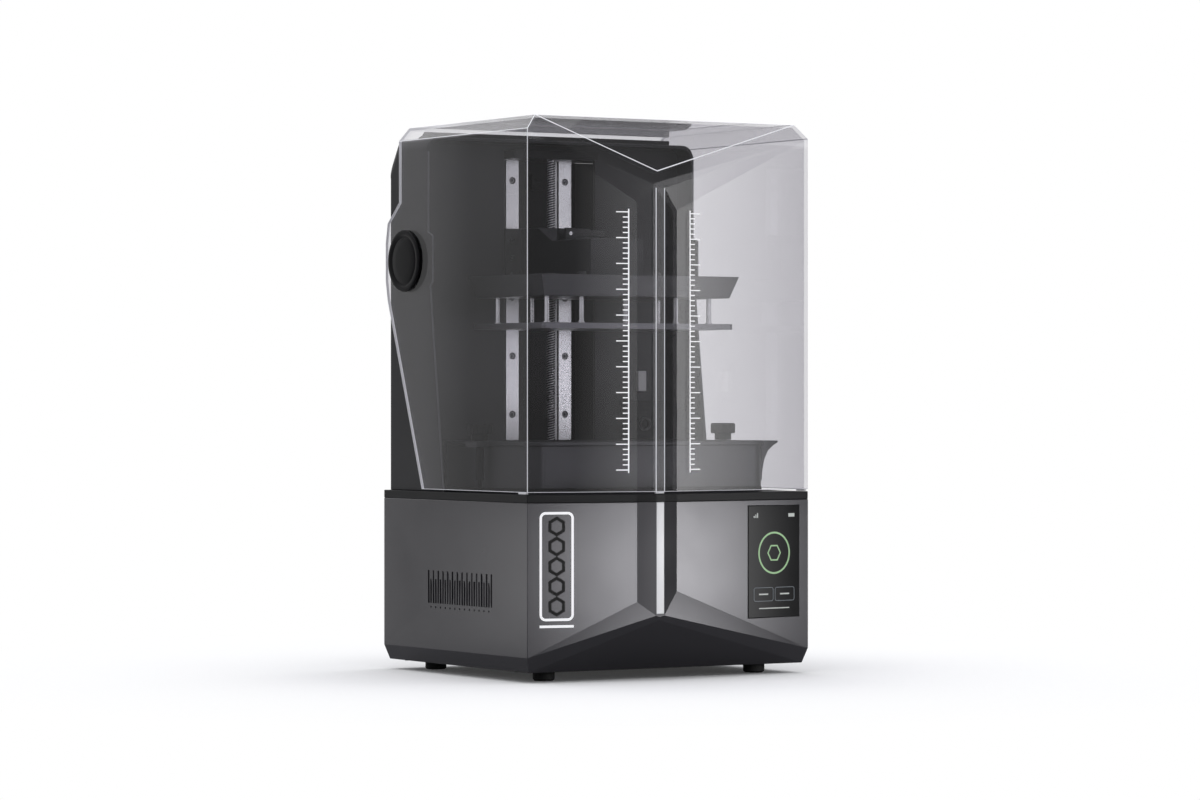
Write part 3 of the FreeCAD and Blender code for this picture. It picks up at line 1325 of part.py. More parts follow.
# Lid hinge: a block inside each wing holds a shaft that the lid's side turns on.
HINGE_BLOCK_X = (f"{HOUSING_INNER} - hinge_block_width", HOUSING_INNER)
HINGE_BLOCK_Y = (PANEL_BACK, f"{PANEL_BACK} + hinge_block_depth")
hinge_block = cut(
    "hinge_block",
    box("hinge_block_solid", HINGE_BLOCK_X, HINGE_BLOCK_Y, span(HINGE_Z, "hinge_block_height")),
    rod("hinge_block_bore", "x", (f"{HINGE_BLOCK_X[0]} - 1", f"{HINGE_BLOCK_X[1]} + 1"), "hinge_shaft_radius",
        HINGE_Y, HINGE_Z),
)
hinge_brackets = group("hinge_brackets", hinge_block, mirrored("hinge_block_left", hinge_block))
hinge_shaft = rod("hinge_shaft", "x", (HINGE_BLOCK_X[0], f"{HALF} - running_clearance"), "hinge_shaft_radius",
                  HINGE_Y, HINGE_Z)
hinge_shafts = group("hinge_shafts", hinge_shaft, mirrored("hinge_shaft_left", hinge_shaft))

# Lid: one clear moulding with the base's plan, a roof with slanted edges and a peaked front.
ROOF_EDGE_Z = f"({LID_TOP} - roof_drop)"


def lid_planes():
    """The slanted faces at the top of the lid: roof edges, front bands and peak."""
    planes = []
    for sign in ("-", ""):
        planes.append([
            point(f"{sign}{HALF}", CORNER_Y, ROOF_EDGE_Z),
            point(f"{sign}{HALF}", BACK_Y, ROOF_EDGE_Z),
            point(f"{sign}({HALF} - roof_inset)", BACK_Y, LID_TOP),
        ])
    planes += brow_planes(ROOF_EDGE_Z, f"{LID_TOP} - lid_strip_drop", "roof_inset", "roof_setback", LID_TOP)
    planes.append([
        point(f"-{HALF} + roof_inset", f"{CORNER_Y} + roof_setback", LID_TOP),
        point(f"{HALF} - roof_inset", f"{CORNER_Y} + roof_setback", LID_TOP),
        point("-ridge_shift", f"{RIDGE_Y} + peak_setback", f"{LID_TOP} - peak_drop"),
    ])
    return planes


def lid_hollow():
    """The space under the lid, one wall in from every face and open behind."""
    inner = f"({HALF} - lid_wall)"
    corners = rectangle((f"-{inner}", inner), (RIDGE_Y, f"2 * {BACK_Y}"))
    hollow = prism(corners, DECK_TOP, f"{LID_TOP} - lid_wall")
    for plane in facet_planes(LID_BOTTOM, LID_TOP) + lid_planes():
        hollow = trimmed(hollow, plane, value("lid_wall"))
    return hollow


def lid_side():
    """The lid's side view: straight in front, with an ear behind the hinge and a cut-away foot."""
    corners = [
        (RIDGE_Y, LID_BOTTOM),
        (f"{BACK_Y} - lid_foot_setback", LID_BOTTOM),
        (f"{BACK_Y} - ear_rear_setback", f"{HINGE_Z} - ear_below_hinge"),
        (f"{BACK_Y} - ear_rear_setback + ear_bulge", f"{HINGE_Z} - ear_bulge_half"),
        (f"{BACK_Y} - ear_rear_setback + ear_bulge", f"{HINGE_Z} + ear_bulge_half"),
        (f"{BACK_Y} - ear_rear_setback", f"{HINGE_Z} + ear_above_hinge"),
        (f"{BACK_Y} - roof_rear_setback", f"{HINGE_Z} + ear_slope_above"),
        (f"{BACK_Y} - roof_rear_setback", LID_TOP),
        (RIDGE_Y, LID_TOP),
    ]
    spots = [point(f"-{HALF}", y, z) for y, z in corners]
    return Part.Face(Part.makePolygon(spots + spots[:1])).extrude(FreeCAD.Vector(value("body_width"), 0, 0))


def lid_shell_shape():
    """The clear moulding with its hollow and the bores for the hinge shafts."""
    shell = prism(ENVELOPE, LID_BOTTOM, LID_TOP).common(lid_side())
    for plane in lid_planes():
        shell = trimmed(shell, plane)
    wedges = facet_wedges(
        ROOF_EDGE_Z, f"{LID_TOP} - lid_left_facet_drop", f"{LID_TOP} - lid_right_facet_drop",
        f"{LID_TOP} - lid_strip_drop", -value("lid_height"),
    )
    bores = Part.makeCylinder(value("hinge_shaft_radius + running_clearance"), value("body_width"),
                              point(f"-{HALF}", HINGE_Y, HINGE_Z), FreeCAD.Vector(1, 0, 0))
    return shell.cut(wedges + [lid_hollow(), bores])


lid_shell = feature("lid_shell", lid_shell_shape())

# Hinge caps: dished discs on the lid's sides.
cap = turned("cap", [
    ("0", "0"),
    ("hinge_cap_radius", "0"),
    ("hinge_cap_radius", "hinge_cap_thickness - 1"),
    ("hinge_cap_radius - 1", "hinge_cap_thickness"),
    ("hinge_cap_radius - hinge_cap_rim", "hinge_cap_thickness"),
    ("hinge_cap_radius - 2 * hinge_cap_rim", "hinge_cap_thickness - hinge_cap_dish"),
    ("0", "hinge_cap_thickness - hinge_cap_dish"),
])
cap_right = stood("cap_right", cap, AXIS_TURNS["x"], HALF, HINGE_Y, HINGE_Z)
hinge_caps = group("hinge_caps", cap_right, mirrored("cap_left", cap_right))

# Soft pads under the lid's front corners and ridge.
BUMPER_Z = (f"{DECK_TOP} + bumper_lift", LID_BOTTOM)
corner_bumper = box("corner_bumper", (f"{HALF} - bumper_width", HALF),
                    (f"{CORNER_Y} + bumper_width", f"{CORNER_Y} + bumper_width + bumper_length"), BUMPER_Z)
ridge_bumper = box("ridge_bumper", span("-ridge_shift", "strip_width"),
                   (f"{RIDGE_Y} + 0.5", f"{RIDGE_Y} + 0.5 + bumper_width"), BUMPER_Z)
lid_bumpers = group("lid_bumpers", corner_bumper, mirrored("corner_bumper_left", corner_bumper), ridge_bumper)

# Build platform: a thin plate on guide pins that slide in a tapered head.
PLATE_CORNERS = rectangle(span("0", "plate_width"), span(BED_Y, "plate_depth"))
build_plate = extruded("build_plate", "XY_Plane", PLATE_CORNERS, PLATE_BOTTOM, "plate_thickness")
rounded(build_plate, "plate_rounding", "plate_corner", upright)

PIN_PLACES = [
    (f"{side} * {spread} / 2", f"{BED_Y} + {row} * pin_row_spread / 2")
    for spread in ("pin_outer_spread", "pin_inner_spread")
    for side in (-1, 1)
    for row in (-1, 1)
]
guide_pin = turned("guide_pin", [
    ("0", "0"),
    ("pin_collar_radius", "0"),
    ("pin_collar_radius", "pin_collar_height"),
    ("pin_radius", "pin_collar_height"),
    ("pin_radius", "head_gap + pin_reach"),
    ("0", "head_gap + pin_reach"),
])
pin_spots = [(x, y, PLATE_TOP) for x, y in PIN_PLACES]
guide_pins = group("guide_pins", *copies("guide_pin_at", guide_pin, pin_spots))

platform_head = doc.addObject("PartDesign::Body", "platform_head")
head_outline = sketch(platform_head, "XY_Plane", "head_outline", HEAD_TOP)
outline(head_outline, rectangle(span("0", "head_width"), span(BED_Y, "head_depth")))
head_block = pad(platform_head, head_outline, "head_thickness", backwards=True)
bind(head_block, "TaperAngle", "-atan(head_taper / head_thickness)")
head_bores = sketch(platform_head, "XY_Plane", "head_bores", HEAD_BOTTOM)
for x, y in PIN_PLACES:
    circle(head_bores, x, y, "pin_radius + running_clearance")
pocket(platform_head, head_bores, "pin_bore_depth", forwards=True)

# Springs above the pins, inside the head's bores.
SPRING_BOTTOM = f"({HEAD_BOTTOM} + pin_reach)"
SPRING_TOP = f"({HEAD_BOTTOM} + pin_bore_depth)"
spring = turned("spring", [
    ("pin_radius - spring_slack - spring_wire", SPRING_BOTTOM),
    ("pin_radius - spring_slack", SPRING_BOTTOM),
    ("pin_radius - spring_slack", SPRING_TOP),
    ("pin_radius - spring_slack - spring_wire", SPRING_TOP),
])
plate_springs = group("plate_springs", *copies("spring_at", spring, [(x, y, "0") for x, y in PIN_PLACES]))

# Carriage: an arm over the head, a back plate on two rail blocks, and the nut on the lead screw.
ARM_FRONT = f"({BED_Y} - head_depth / 2 + arm_front_overhang)"
arm_side = extruded("arm_side", "YZ_Plane", [
    (ARM_FRONT, HEAD_TOP),
    (CARRIAGE_FRONT, HEAD_TOP),
    (CARRIAGE_FRONT, f"{ARM_TOP} + arm_shoulder"),
    (f"{SCREW_Y} - nut_flange_radius - arm_shoulder", f"{ARM_TOP} + arm_shoulder"),
    (f"{SCREW_Y} - nut_flange_radius - 3 * arm_shoulder", ARM_TOP),
    (ARM_FRONT, ARM_TOP),
], "-arm_width / 2", "arm_width")
LUG_INNER = "(lever_width / 2 + part_clearance)"
LUG_Y = [
    (f"{LEVER_Y} - {LUG_INNER} - lever_lug", f"{LEVER_Y} - {LUG_INNER}"),
    (f"{LEVER_Y} + {LUG_INNER}", f"{LEVER_Y} + {LUG_INNER} + lever_lug"),
]
lugs = [
    box("lever_lug_%d" % index, span("lever_x", "2 * lever_eye_radius"), y,
        (f"{ARM_TOP} - 1", f"{LEVER_Z} + lever_eye_radius"))
    for index, y in enumerate(LUG_Y)
]
LEVER_PIN_ENDS = (LUG_Y[0][0], LUG_Y[1][1])
lug_bore = rod("lug_bore", "y", (f"{LUG_Y[0][0]} - 1", f"{LUG_Y[1][1]} + 1"), "lever_pin_radius",
               "lever_x", LEVER_Z)
screw_passage = rod("screw_passage", "z", (f"{HEAD_TOP} - 1", f"{ARM_TOP} + 2 * arm_shoulder"),
                    "screw_radius + 2 * part_clearance", "0", SCREW_Y)
nut_seat = rod("nut_seat", "z", (f"{HEAD_TOP} - 1", f"{HEAD_TOP} + nut_length"), "nut_radius", "0", SCREW_Y)
carriage_plate = box("carriage_plate", span("0", "carriage_width"), (CARRIAGE_FRONT, BLOCK_FRONT),
                     (CARRIAGE_BOTTOM, CARRIAGE_TOP))
arm_solid = join("arm_solid", arm_side, carriage_plate, *lugs)
arm_casting = cut("arm_casting", arm_solid, lug_bore, screw_passage, nut_seat)

BLOCK_Z = (f"{CARRIAGE_BOTTOM} + 1", f"{CARRIAGE_BOTTOM} + 1 + block_height")
block_right = cut(
    "block_right",
    box("block_solid", span("rail_spacing / 2", "block_width"), (BLOCK_FRONT, BLOCK_BACK), BLOCK_Z),
    box("block_channel", span("rail_spacing / 2", "rail_width + 2 * part_clearance"),
        (f"{RAIL_FRONT} - part_clearance", f"{BLOCK_BACK} + 1"),
        (f"{BLOCK_Z[0]} - 1", f"{BLOCK_Z[1]} + 1")),
)
carriage_blocks = group("carriage_blocks", block_right, mirrored("block_left", block_right))

lead_nut = cut(
    "lead_nut",
    join(
        "nut_solid",
        rod("nut_barrel", "z", (HEAD_TOP, f"{HEAD_TOP} + nut_length"), "nut_radius", "0", SCREW_Y),
        rod("nut_flange", "z", (f"{HEAD_TOP} - nut_flange_thickness", HEAD_TOP), "nut_flange_radius",
            "0", SCREW_Y),
    ),
    rod("nut_bore", "z", (f"{HEAD_TOP} - 2 * nut_flange_thickness", f"{HEAD_TOP} + 2 * nut_length"),
        "screw_radius + running_clearance", "0", SCREW_Y),
)

# Release lever on the arm, with its pin through the two lugs.
lever_bar = extruded("lever_bar", "XZ_Plane", [
    ("lever_x", f"{LEVER_Z} - lever_eye_radius"),
    ("lever_x + lever_length / 2", f"{LEVER_Z} - lever_thickness / 2"),
    ("lever_x + lever_length", f"{LEVER_Z} - lever_thickness / 2"),
    ("lever_x + lever_length", f"{LEVER_Z} + lever_thickness / 2"),
    ("lever_x", f"{LEVER_Z} + lever_eye_radius"),
], f"-({LEVER_Y}) - lever_width / 2", "lever_width")
lever_eye = rod("lever_eye", "y", span(LEVER_Y, "lever_width"), "lever_eye_radius", "lever_x", LEVER_Z)
lever_bore = rod("lever_bore", "y", span(LEVER_Y, "2 * lever_width"), "lever_pin_radius + running_clearance",
                 "lever_x", LEVER_Z)
release_lever = cut("release_lever", join("lever_solid", lever_bar, lever_eye), lever_bore)
lever_pin = rod("lever_pin", "y", LEVER_PIN_ENDS, "lever_pin_radius", "lever_x", LEVER_Z)

# Tilt plate: the frame that carries display and vat, with two hinge lugs on its right edge.
tilt_frame = extruded("tilt_frame", "XY_Plane", rectangle(
    (f"-{TILT_HALF}", TILT_HALF), span(BED_Y, "tilt_depth")
), TILT_BOTTOM, "tilt_thickness")
tilt_holes = sketch(tilt_frame, "XY_Plane", "tilt_holes", TILT_TOP)
outline(tilt_holes, rectangle(span("0", "window_width"), span(BED_Y, "window_depth")))
for sign in ("-", ""):
    circle(tilt_holes, f"{sign}{KNOB_X}", BED_Y, "knob_thread_radius + running_clearance")
pocket(tilt_frame, tilt_holes, "tilt_thickness")
LUG_ROWS = [f"({BED_Y} + {side} * tilt_lug_spread / 2)" for side in (-1, 1)]
tilt_lugs = []
for index, row in enumerate(LUG_ROWS):
    tilt_lugs.append(rod(f"tilt_lug_{index}", "y", span(row, "tilt_lug_width"), "tilt_lug_radius",
                         TILT_PIN_X, TILT_PIN_Z))
    tilt_lugs.append(box(f"tilt_lug_web_{index}", (f"{TILT_PIN_X} - tilt_lug_radius", TILT_PIN_X),
                         span(row, "tilt_lug_width"), (TILT_PIN_Z, TILT_BOTTOM)))
tilt_bore = rod("tilt_bore", "y", span(BED_Y, "2 * tilt_lug_spread"), "tilt_pin_radius + running_clearance",
                TILT_PIN_X, TILT_PIN_Z)
tilt_plate = cut("tilt_plate", join("tilt_solid", tilt_frame, *tilt_lugs), tilt_bore)

# Hinge brackets on the chassis plate, a pair of cheeks for each lug, and the two pins.
tilt_cheeks = []
tilt_pins = []
for index, row in enumerate(LUG_ROWS):
    inner = "(tilt_lug_width / 2 + part_clearance)"
    outer = f"({inner} + tilt_ear_thickness)"
    sides = ((f"{row} - {outer}", f"{row} - {inner}"), (f"{row} + {inner}", f"{row} + {outer}"))
    for side, (low, high) in enumerate(sides):
        cheek = join(
            f"cheek_solid_{index}_{side}",
            box(f"cheek_foot_{index}_{side}", span(TILT_PIN_X, "2 * tilt_lug_radius"), (low, high),
                (CHASSIS_TOP, TILT_PIN_Z)),
            rod(f"cheek_top_{index}_{side}", "y", (low, high), "tilt_lug_radius", TILT_PIN_X, TILT_PIN_Z),
        )
        tilt_cheeks.append(cut(
            f"cheek_{index}_{side}", cheek,
            rod(f"cheek_bore_{index}_{side}", "y", (f"{low} - 1", f"{high} + 1"), "tilt_pin_radius",
                TILT_PIN_X, TILT_PIN_Z),
        ))
    tilt_pins.append(rod(f"tilt_pin_{index}", "y", (f"{row} - {outer}", f"{row} + {outer}"),
                         "tilt_pin_radius", TILT_PIN_X, TILT_PIN_Z))
tilt_hinge_brackets = group("tilt_hinge_brackets", *tilt_cheeks)
tilt_hinge_pins = group("tilt_hinge_pins", *tilt_pins)

# Tilt motor under the chassis plate, and the rod that lowers the left side.
tilt_motor = cut(
    "tilt_motor",
    box("tilt_motor_case", span(ROD_X, "tilt_motor_width"), span(BED_Y, "tilt_motor_width"),
        (f"{CHASSIS_BOTTOM} - tilt_motor_height", CHASSIS_BOTTOM)),
    rod("tilt_motor_bore", "z", (f"{CHASSIS_BOTTOM} - tilt_motor_height - 1", f"{CHASSIS_BOTTOM} + 1"),
        "rod_radius + running_clearance", ROD_X, BED_Y),
)
tilt_push_rod = rod("tilt_push_rod", "z", (f"{ROD_TOP} - rod_length", ROD_TOP), "rod_radius", ROD_X, BED_Y)

# Display: a bezel flush with the panel it frames.
DISPLAY_GAP = "(display_width + 2 * part_clearance)"
lcd_bezel = extruded("lcd_bezel", "XY_Plane", rectangle(
    (f"-{TILT_HALF} + bezel_inset", f"{TILT_HALF} - bezel_inset"), span(BED_Y, "tilt_depth - 2 * bezel_inset")
), TILT_TOP, "display_thickness")
bezel_holes = sketch(lcd_bezel, "XY_Plane", "bezel_holes", BEZEL_TOP)
outline(bezel_holes, rectangle(span("0", DISPLAY_GAP), span(BED_Y, "display_depth + 2 * part_clearance")))
for sign in ("-", ""):
    circle(bezel_holes, f"{sign}{KNOB_X}", BED_Y, "knob_thread_radius + running_clearance")
pocket(lcd_bezel, bezel_holes, "display_thickness")
lcd_panel = box("lcd_panel", span("0", "display_width"), span(BED_Y, "display_depth"), (TILT_TOP, BEZEL_TOP))

# Vat: a deep tray with a rolled rim, two ears for the thumb screws and a pouring spout.
VAT_X = span("0", "vat_width")
VAT_Y = span(BED_Y, "vat_depth")
vat_tray = rounded(extruded("vat_tray", "XY_Plane", rectangle(VAT_X, VAT_Y), VAT_BOTTOM, "vat_height"),
                   "vat_rounding", "vat_corner", upright)
RIM_BOTTOM = f"({VAT_TOP} - rim_thickness)"
vat_rim = rounded(extruded("vat_rim", "XY_Plane", rectangle(
    span("0", "vat_width + 2 * rim_width"), span(BED_Y, "vat_depth + 2 * rim_width")
), RIM_BOTTOM, "rim_thickness"), "rim_rounding", "vat_corner + rim_width", upright)
EAR_OUT = "(vat_width / 2 + ear_reach)"
ear_right = box("ear_right", ("vat_width / 2 - vat_wall", EAR_OUT), span(BED_Y, "ear_width"),
                (f"{VAT_TOP} - ear_thickness", VAT_TOP))
ear_left = mirrored("ear_left", ear_right)
SPOUT_Y = (f"{VAT_Y[0]} + spout_front_inset", f"{VAT_Y[0]} + spout_front_inset + spout_width")
SPOUT_ROOT = "(vat_width / 2 - vat_wall)"
SPOUT_OUT = "(vat_width / 2 + spout_reach)"


def spout_side(inset):
    """The spout's side view: a concave flare from the wall out to a thin lip."""
    return [
        (f"{SPOUT_ROOT} - {inset}", f"{VAT_TOP} - spout_drop + {inset}"),
        (f"{SPOUT_ROOT} + vat_wall - {inset}", f"{VAT_TOP} - spout_drop + {inset}"),
        (f"{SPOUT_ROOT} + vat_wall + spout_reach * 0.05 - {inset}", f"{VAT_TOP} - spout_drop * 0.72"),
        (f"{SPOUT_ROOT} + vat_wall + spout_reach * 0.17 - {inset}", f"{VAT_TOP} - spout_drop * 0.46"),
        (f"{SPOUT_ROOT} + vat_wall + spout_reach * 0.4 - {inset}", f"{VAT_TOP} - spout_drop * 0.25"),
        (f"{SPOUT_ROOT} + vat_wall + spout_reach * 0.72 - {inset}", f"{VAT_TOP} - spout_drop * 0.12"),
        (f"{SPOUT_OUT} - {inset}", f"{VAT_TOP} - rim_thickness / 2"),
        (f"{SPOUT_OUT} - {inset}", f"{VAT_TOP} + 2 * {inset}"),
        (f"{SPOUT_ROOT} - {inset}", f"{VAT_TOP} + 2 * {inset}"),
    ]


SPOUT_LENGTH = f"({SPOUT_Y[1]}) - ({SPOUT_Y[0]})"
spout_outside = extruded("spout_outside", "XZ_Plane", spout_side("0"), f"-({SPOUT_Y[1]})", SPOUT_LENGTH)
spout_inside = extruded("spout_inside", "XZ_Plane", spout_side("vat_wall"), f"-({SPOUT_Y[1]} - vat_wall)",
                        f"{SPOUT_LENGTH} - 2 * vat_wall")
vat_bath = rounded(extruded("vat_bath", "XY_Plane", rectangle(
    span("0", "vat_width - 2 * vat_wall"), span(BED_Y, "vat_depth - 2 * vat_wall")
), f"{VAT_BOTTOM} + vat_flange_thickness", "vat_height"), "bath_rounding", "vat_corner - vat_wall", upright)
VAT_OPENING = "2 * (vat_wall + vat_flange)"
vat_floor = extruded("vat_floor", "XY_Plane", rectangle(
    span("0", f"vat_width - {VAT_OPENING}"), span(BED_Y, f"vat_depth - {VAT_OPENING}")
), f"{VAT_BOTTOM} - 1", "vat_height")
ear_holes = [
    rod(f"ear_hole_{index}", "z", (f"{VAT_TOP} - 2 * ear_thickness", f"{VAT_TOP} + 1"),
        "knob_sleeve_radius + part_clearance", f"{sign}{KNOB_X}", BED_Y)
    for index, sign in enumerate(("-", ""))
]
vat_body = cut("vat_body", join("vat_solid", vat_tray, vat_rim, ear_right, ear_left, spout_outside),
               vat_bath, vat_floor, spout_inside, *ear_holes)

# Film frame screwed under the vat's flange, with the clear film stretched across it.
FRAME_X = "(vat_width - 2 * vat_wall)"
FRAME_Y = "(vat_depth - 2 * vat_wall)"
vat_film_frame = extruded("vat_film_frame", "XY_Plane", rectangle(span("0", FRAME_X), span(BED_Y, FRAME_Y)),
                          FRAME_BOTTOM, "frame_thickness")
frame_hole = sketch(vat_film_frame, "XY_Plane", "frame_hole", VAT_BOTTOM)
outline(frame_hole, rectangle(
    span("0", f"{FRAME_X} - 2 * frame_width"), span(BED_Y, f"{FRAME_Y} - 2 * frame_width")
))
pocket(vat_film_frame, frame_hole, "frame_thickness")
release_film = box("release_film", span("0", FRAME_X), span(BED_Y, FRAME_Y), (FILM_BOTTOM, FRAME_BOTTOM))

# Thumb screws: a knob on a sleeve that clamps the vat's ear, and a thread into the tilt plate.
SLEEVE_BOTTOM = f"({BEZEL_TOP} + knob_thread_length - tilt_thickness - display_thickness)"
GRIP_BOTTOM = f"({VAT_TOP} + part_clearance + knob_neck_height)"
knob = turned("knob", [
    ("0", f"{TILT_BOTTOM}"),
    ("knob_thread_radius", f"{TILT_BOTTOM}"),
    ("knob_thread_radius", SLEEVE_BOTTOM),
    ("knob_sleeve_radius", SLEEVE_BOTTOM),
    ("knob_sleeve_radius", f"{VAT_TOP} + part_clearance"),
    ("knob_neck_radius", f"{VAT_TOP} + part_clearance"),
    ("knob_neck_radius", GRIP_BOTTOM),
    ("knob_radius - 1", GRIP_BOTTOM),
    ("knob_radius", f"{GRIP_BOTTOM} + 1"),
    ("knob_radius", f"{GRIP_BOTTOM} + knob_height - 1.5"),
    ("knob_radius - 1.5", f"{GRIP_BOTTOM} + knob_height"),
    ("0", f"{GRIP_BOTTOM} + knob_height"),
])
vat_knob_left, vat_knob_right = [
    group(name, *copies(name + "_at", knob, [(f"{sign}{KNOB_X}", BED_Y, "0")]))
    for name, sign in (("vat_knob_left", "-"), ("vat_knob_right", ""))
]

# Sub-parts by the names they are kept under.
SUB_PARTS = {
    "base_shell": base_shell,
    "front_spine_strip": front_spine_strip,
    "bottom_pan": bottom_pan,
    "rubber_feet": rubber_feet,
    "touchscreen": touchscreen,
    "deck_frame": deck_frame,
    "chassis_plate": chassis_plate,
    "uv_lens": uv_lens,
    "light_shroud": light_shroud,
    "uv_led_board": uv_led_board,
    "uv_heatsink": uv_heatsink,
    "uv_fan_frame": uv_fan_frame,
    "uv_fan_rotor": uv_fan_rotor,
    "rear_fan_frame": rear_fan_frame,
    "rear_fan_rotor": rear_fan_rotor,
    "mainboard": mainboard,
    "power_supply": power_supply,
    "power_inlet": power_inlet,
    "power_switch_case": power_switch_case,
    "power_switch_rocker": power_switch_rocker,
    "usb_socket": usb_socket,
    "z_column": z_column,
    "linear_rails": linear_rails,
    "top_bearing_bridge": top_bearing_bridge,
    "screw_bearing": screw_bearing,
    "lead_screw": lead_screw,
    "motor_coupling": motor_coupling,
    "z_motor": z_motor,
    "limit_switch": limit_switch,
    "rear_housing": rear_housing,
    "rear_cover": rear_cover,
    "camera_module": camera_module,
    "camera_lens": camera_lens,
    "chamber_lamp": chamber_lamp,
    "hinge_brackets": hinge_brackets,
    "hinge_shafts": hinge_shafts,
    "lid_shell": lid_shell,
    "hinge_caps": hinge_caps,
    "lid_bumpers": lid_bumpers,
    "build_plate": build_plate,
    "guide_pins": guide_pins,
    "platform_head": platform_head,
    "plate_springs": plate_springs,
    "arm_casting": arm_casting,
    "carriage_blocks": carriage_blocks,
    "lead_nut": lead_nut,
    "release_lever": release_lever,
    "lever_pin": lever_pin,
    "tilt_plate": tilt_plate,
    "tilt_hinge_brackets": tilt_hinge_brackets,
    "tilt_hinge_pins": tilt_hinge_pins,
    "tilt_motor": tilt_motor,
    "tilt_push_rod": tilt_push_rod,
    "lcd_bezel": lcd_bezel,
    "lcd_panel": lcd_panel,
    "vat_body": vat_body,
    "vat_film_frame": vat_film_frame,
    "release_film": release_film,
    "vat_knob_left": vat_knob_left,
    "vat_knob_right": vat_knob_right,
}

for name, piece in SUB_PARTS.items():
    piece.Label = name
doc.recompute()
failed = [item.Label for item in doc.Objects if {"Invalid", "Error"} & set(item.State)]
failed += [
    name for name, piece in SUB_PARTS.items()
    if piece.Shape.isNull() or not piece.Shape.isValid() or not piece.Shape.Solids
]
if failed:
    raise RuntimeError("these did not build: " + ", ".join(failed))

os.makedirs("parts", exist_ok=True)
for name, piece in SUB_PARTS.items():
    piece.Shape.exportStep("parts/%s.step" % name)
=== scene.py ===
"""A desktop resin printer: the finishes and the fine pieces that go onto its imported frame."""

import json
import math

import bmesh
import bpy
import numpy as np
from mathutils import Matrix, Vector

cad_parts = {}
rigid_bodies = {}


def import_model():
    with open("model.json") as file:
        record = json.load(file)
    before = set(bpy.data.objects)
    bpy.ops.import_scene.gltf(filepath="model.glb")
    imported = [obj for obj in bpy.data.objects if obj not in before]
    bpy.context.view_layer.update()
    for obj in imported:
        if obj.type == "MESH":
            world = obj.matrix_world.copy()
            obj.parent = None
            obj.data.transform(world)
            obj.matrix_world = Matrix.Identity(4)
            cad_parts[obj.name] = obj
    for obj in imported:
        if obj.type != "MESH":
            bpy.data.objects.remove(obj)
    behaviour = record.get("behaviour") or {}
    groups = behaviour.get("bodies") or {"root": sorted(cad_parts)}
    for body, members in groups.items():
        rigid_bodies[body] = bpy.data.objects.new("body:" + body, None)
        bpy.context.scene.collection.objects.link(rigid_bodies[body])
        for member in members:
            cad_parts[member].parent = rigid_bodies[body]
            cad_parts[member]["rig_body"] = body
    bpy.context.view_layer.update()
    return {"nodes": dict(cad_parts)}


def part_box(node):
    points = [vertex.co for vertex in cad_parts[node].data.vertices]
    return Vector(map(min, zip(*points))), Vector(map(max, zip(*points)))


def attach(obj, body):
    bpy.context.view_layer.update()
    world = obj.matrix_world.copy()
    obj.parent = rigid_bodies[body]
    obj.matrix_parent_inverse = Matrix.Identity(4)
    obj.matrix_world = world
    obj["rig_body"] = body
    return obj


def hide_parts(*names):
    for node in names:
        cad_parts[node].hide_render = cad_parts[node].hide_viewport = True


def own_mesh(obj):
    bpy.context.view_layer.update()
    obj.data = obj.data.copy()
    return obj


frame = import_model()
scene = bpy.context.scene

# The camera stands at the front left, level with the middle of the machine, and looks at it through
# a long lens. What it sees may lie behind many clear faces.
camera_data = bpy.data.cameras.new("photo_camera")
camera_data.sensor_width = 36.0
camera_data.lens = 127.8
camera_data.clip_end = 60.0
camera = bpy.data.objects.new("photo_camera", camera_data)
camera.location = (-2.2647, -3.6385, 0.2728)
camera.rotation_euler = (math.radians(90.0), 0.0, math.radians(-31.881))
scene.collection.objects.link(camera)
scene.camera = camera
scene.view_settings.view_transform = "Standard"
scene.cycles.transparent_max_bounces = 32

# The studio: an even pale room that looks white, with a large soft lamp hung overhead, a little behind
# the machine, so that its shadow falls forwards.
WHITE = (1.0, 1.0, 1.0, 1.0)
ROOM_COLOUR = (0.97, 0.98, 1.0, 1.0)
ROOM_LEVEL = 0.85


def seen_by(tree, *kinds):
    """One for a ray of any of the kinds named, else nought."""
    path = tree.nodes.new("ShaderNodeLightPath")
    socket = path.outputs[kinds[0]]
    for kind in kinds[1:]:
        larger = tree.nodes.new("ShaderNodeMath")
        larger.operation = "MAXIMUM"
        tree.links.new(socket, larger.inputs[0])
        tree.links.new(path.outputs[kind], larger.inputs[1])
        socket = larger.outputs[0]
    return socket


def mixed(tree, share, first, second):
    """Shader that goes from the first to the second with a share from nought to one."""
    mix = tree.nodes.new("ShaderNodeMixShader")
    tree.links.new(share, mix.inputs["Fac"])
    tree.links.new(first.outputs[0], mix.inputs[1])
    tree.links.new(second.outputs[0], mix.inputs[2])
    return mix


def set_surface(tree, shader, output="ShaderNodeOutputMaterial"):
    """Puts a shader on a new output of its tree."""
    out = tree.nodes.new(output)
    tree.links.new(shader.outputs[0], out.inputs["Surface"])


room = bpy.data.worlds.new("pale_room")
room.use_nodes = True
room.node_tree.nodes.clear()
room_light = room.node_tree.nodes.new("ShaderNodeBackground")
room_light.inputs["Color"].default_value = ROOM_COLOUR
room_light.inputs["Strength"].default_value = ROOM_LEVEL
room_white = room.node_tree.nodes.new("ShaderNodeBackground")
room_white.inputs["Color"].default_value = WHITE
room_white.inputs["Strength"].default_value = 1.0
room_seen = seen_by(room.node_tree, "Is Camera Ray", "Is Glossy Ray", "Is Transmission Ray")
room_mix = mixed(room.node_tree, room_seen, room_light, room_white)
set_surface(room.node_tree, room_mix, "ShaderNodeOutputWorld")
scene.world = room


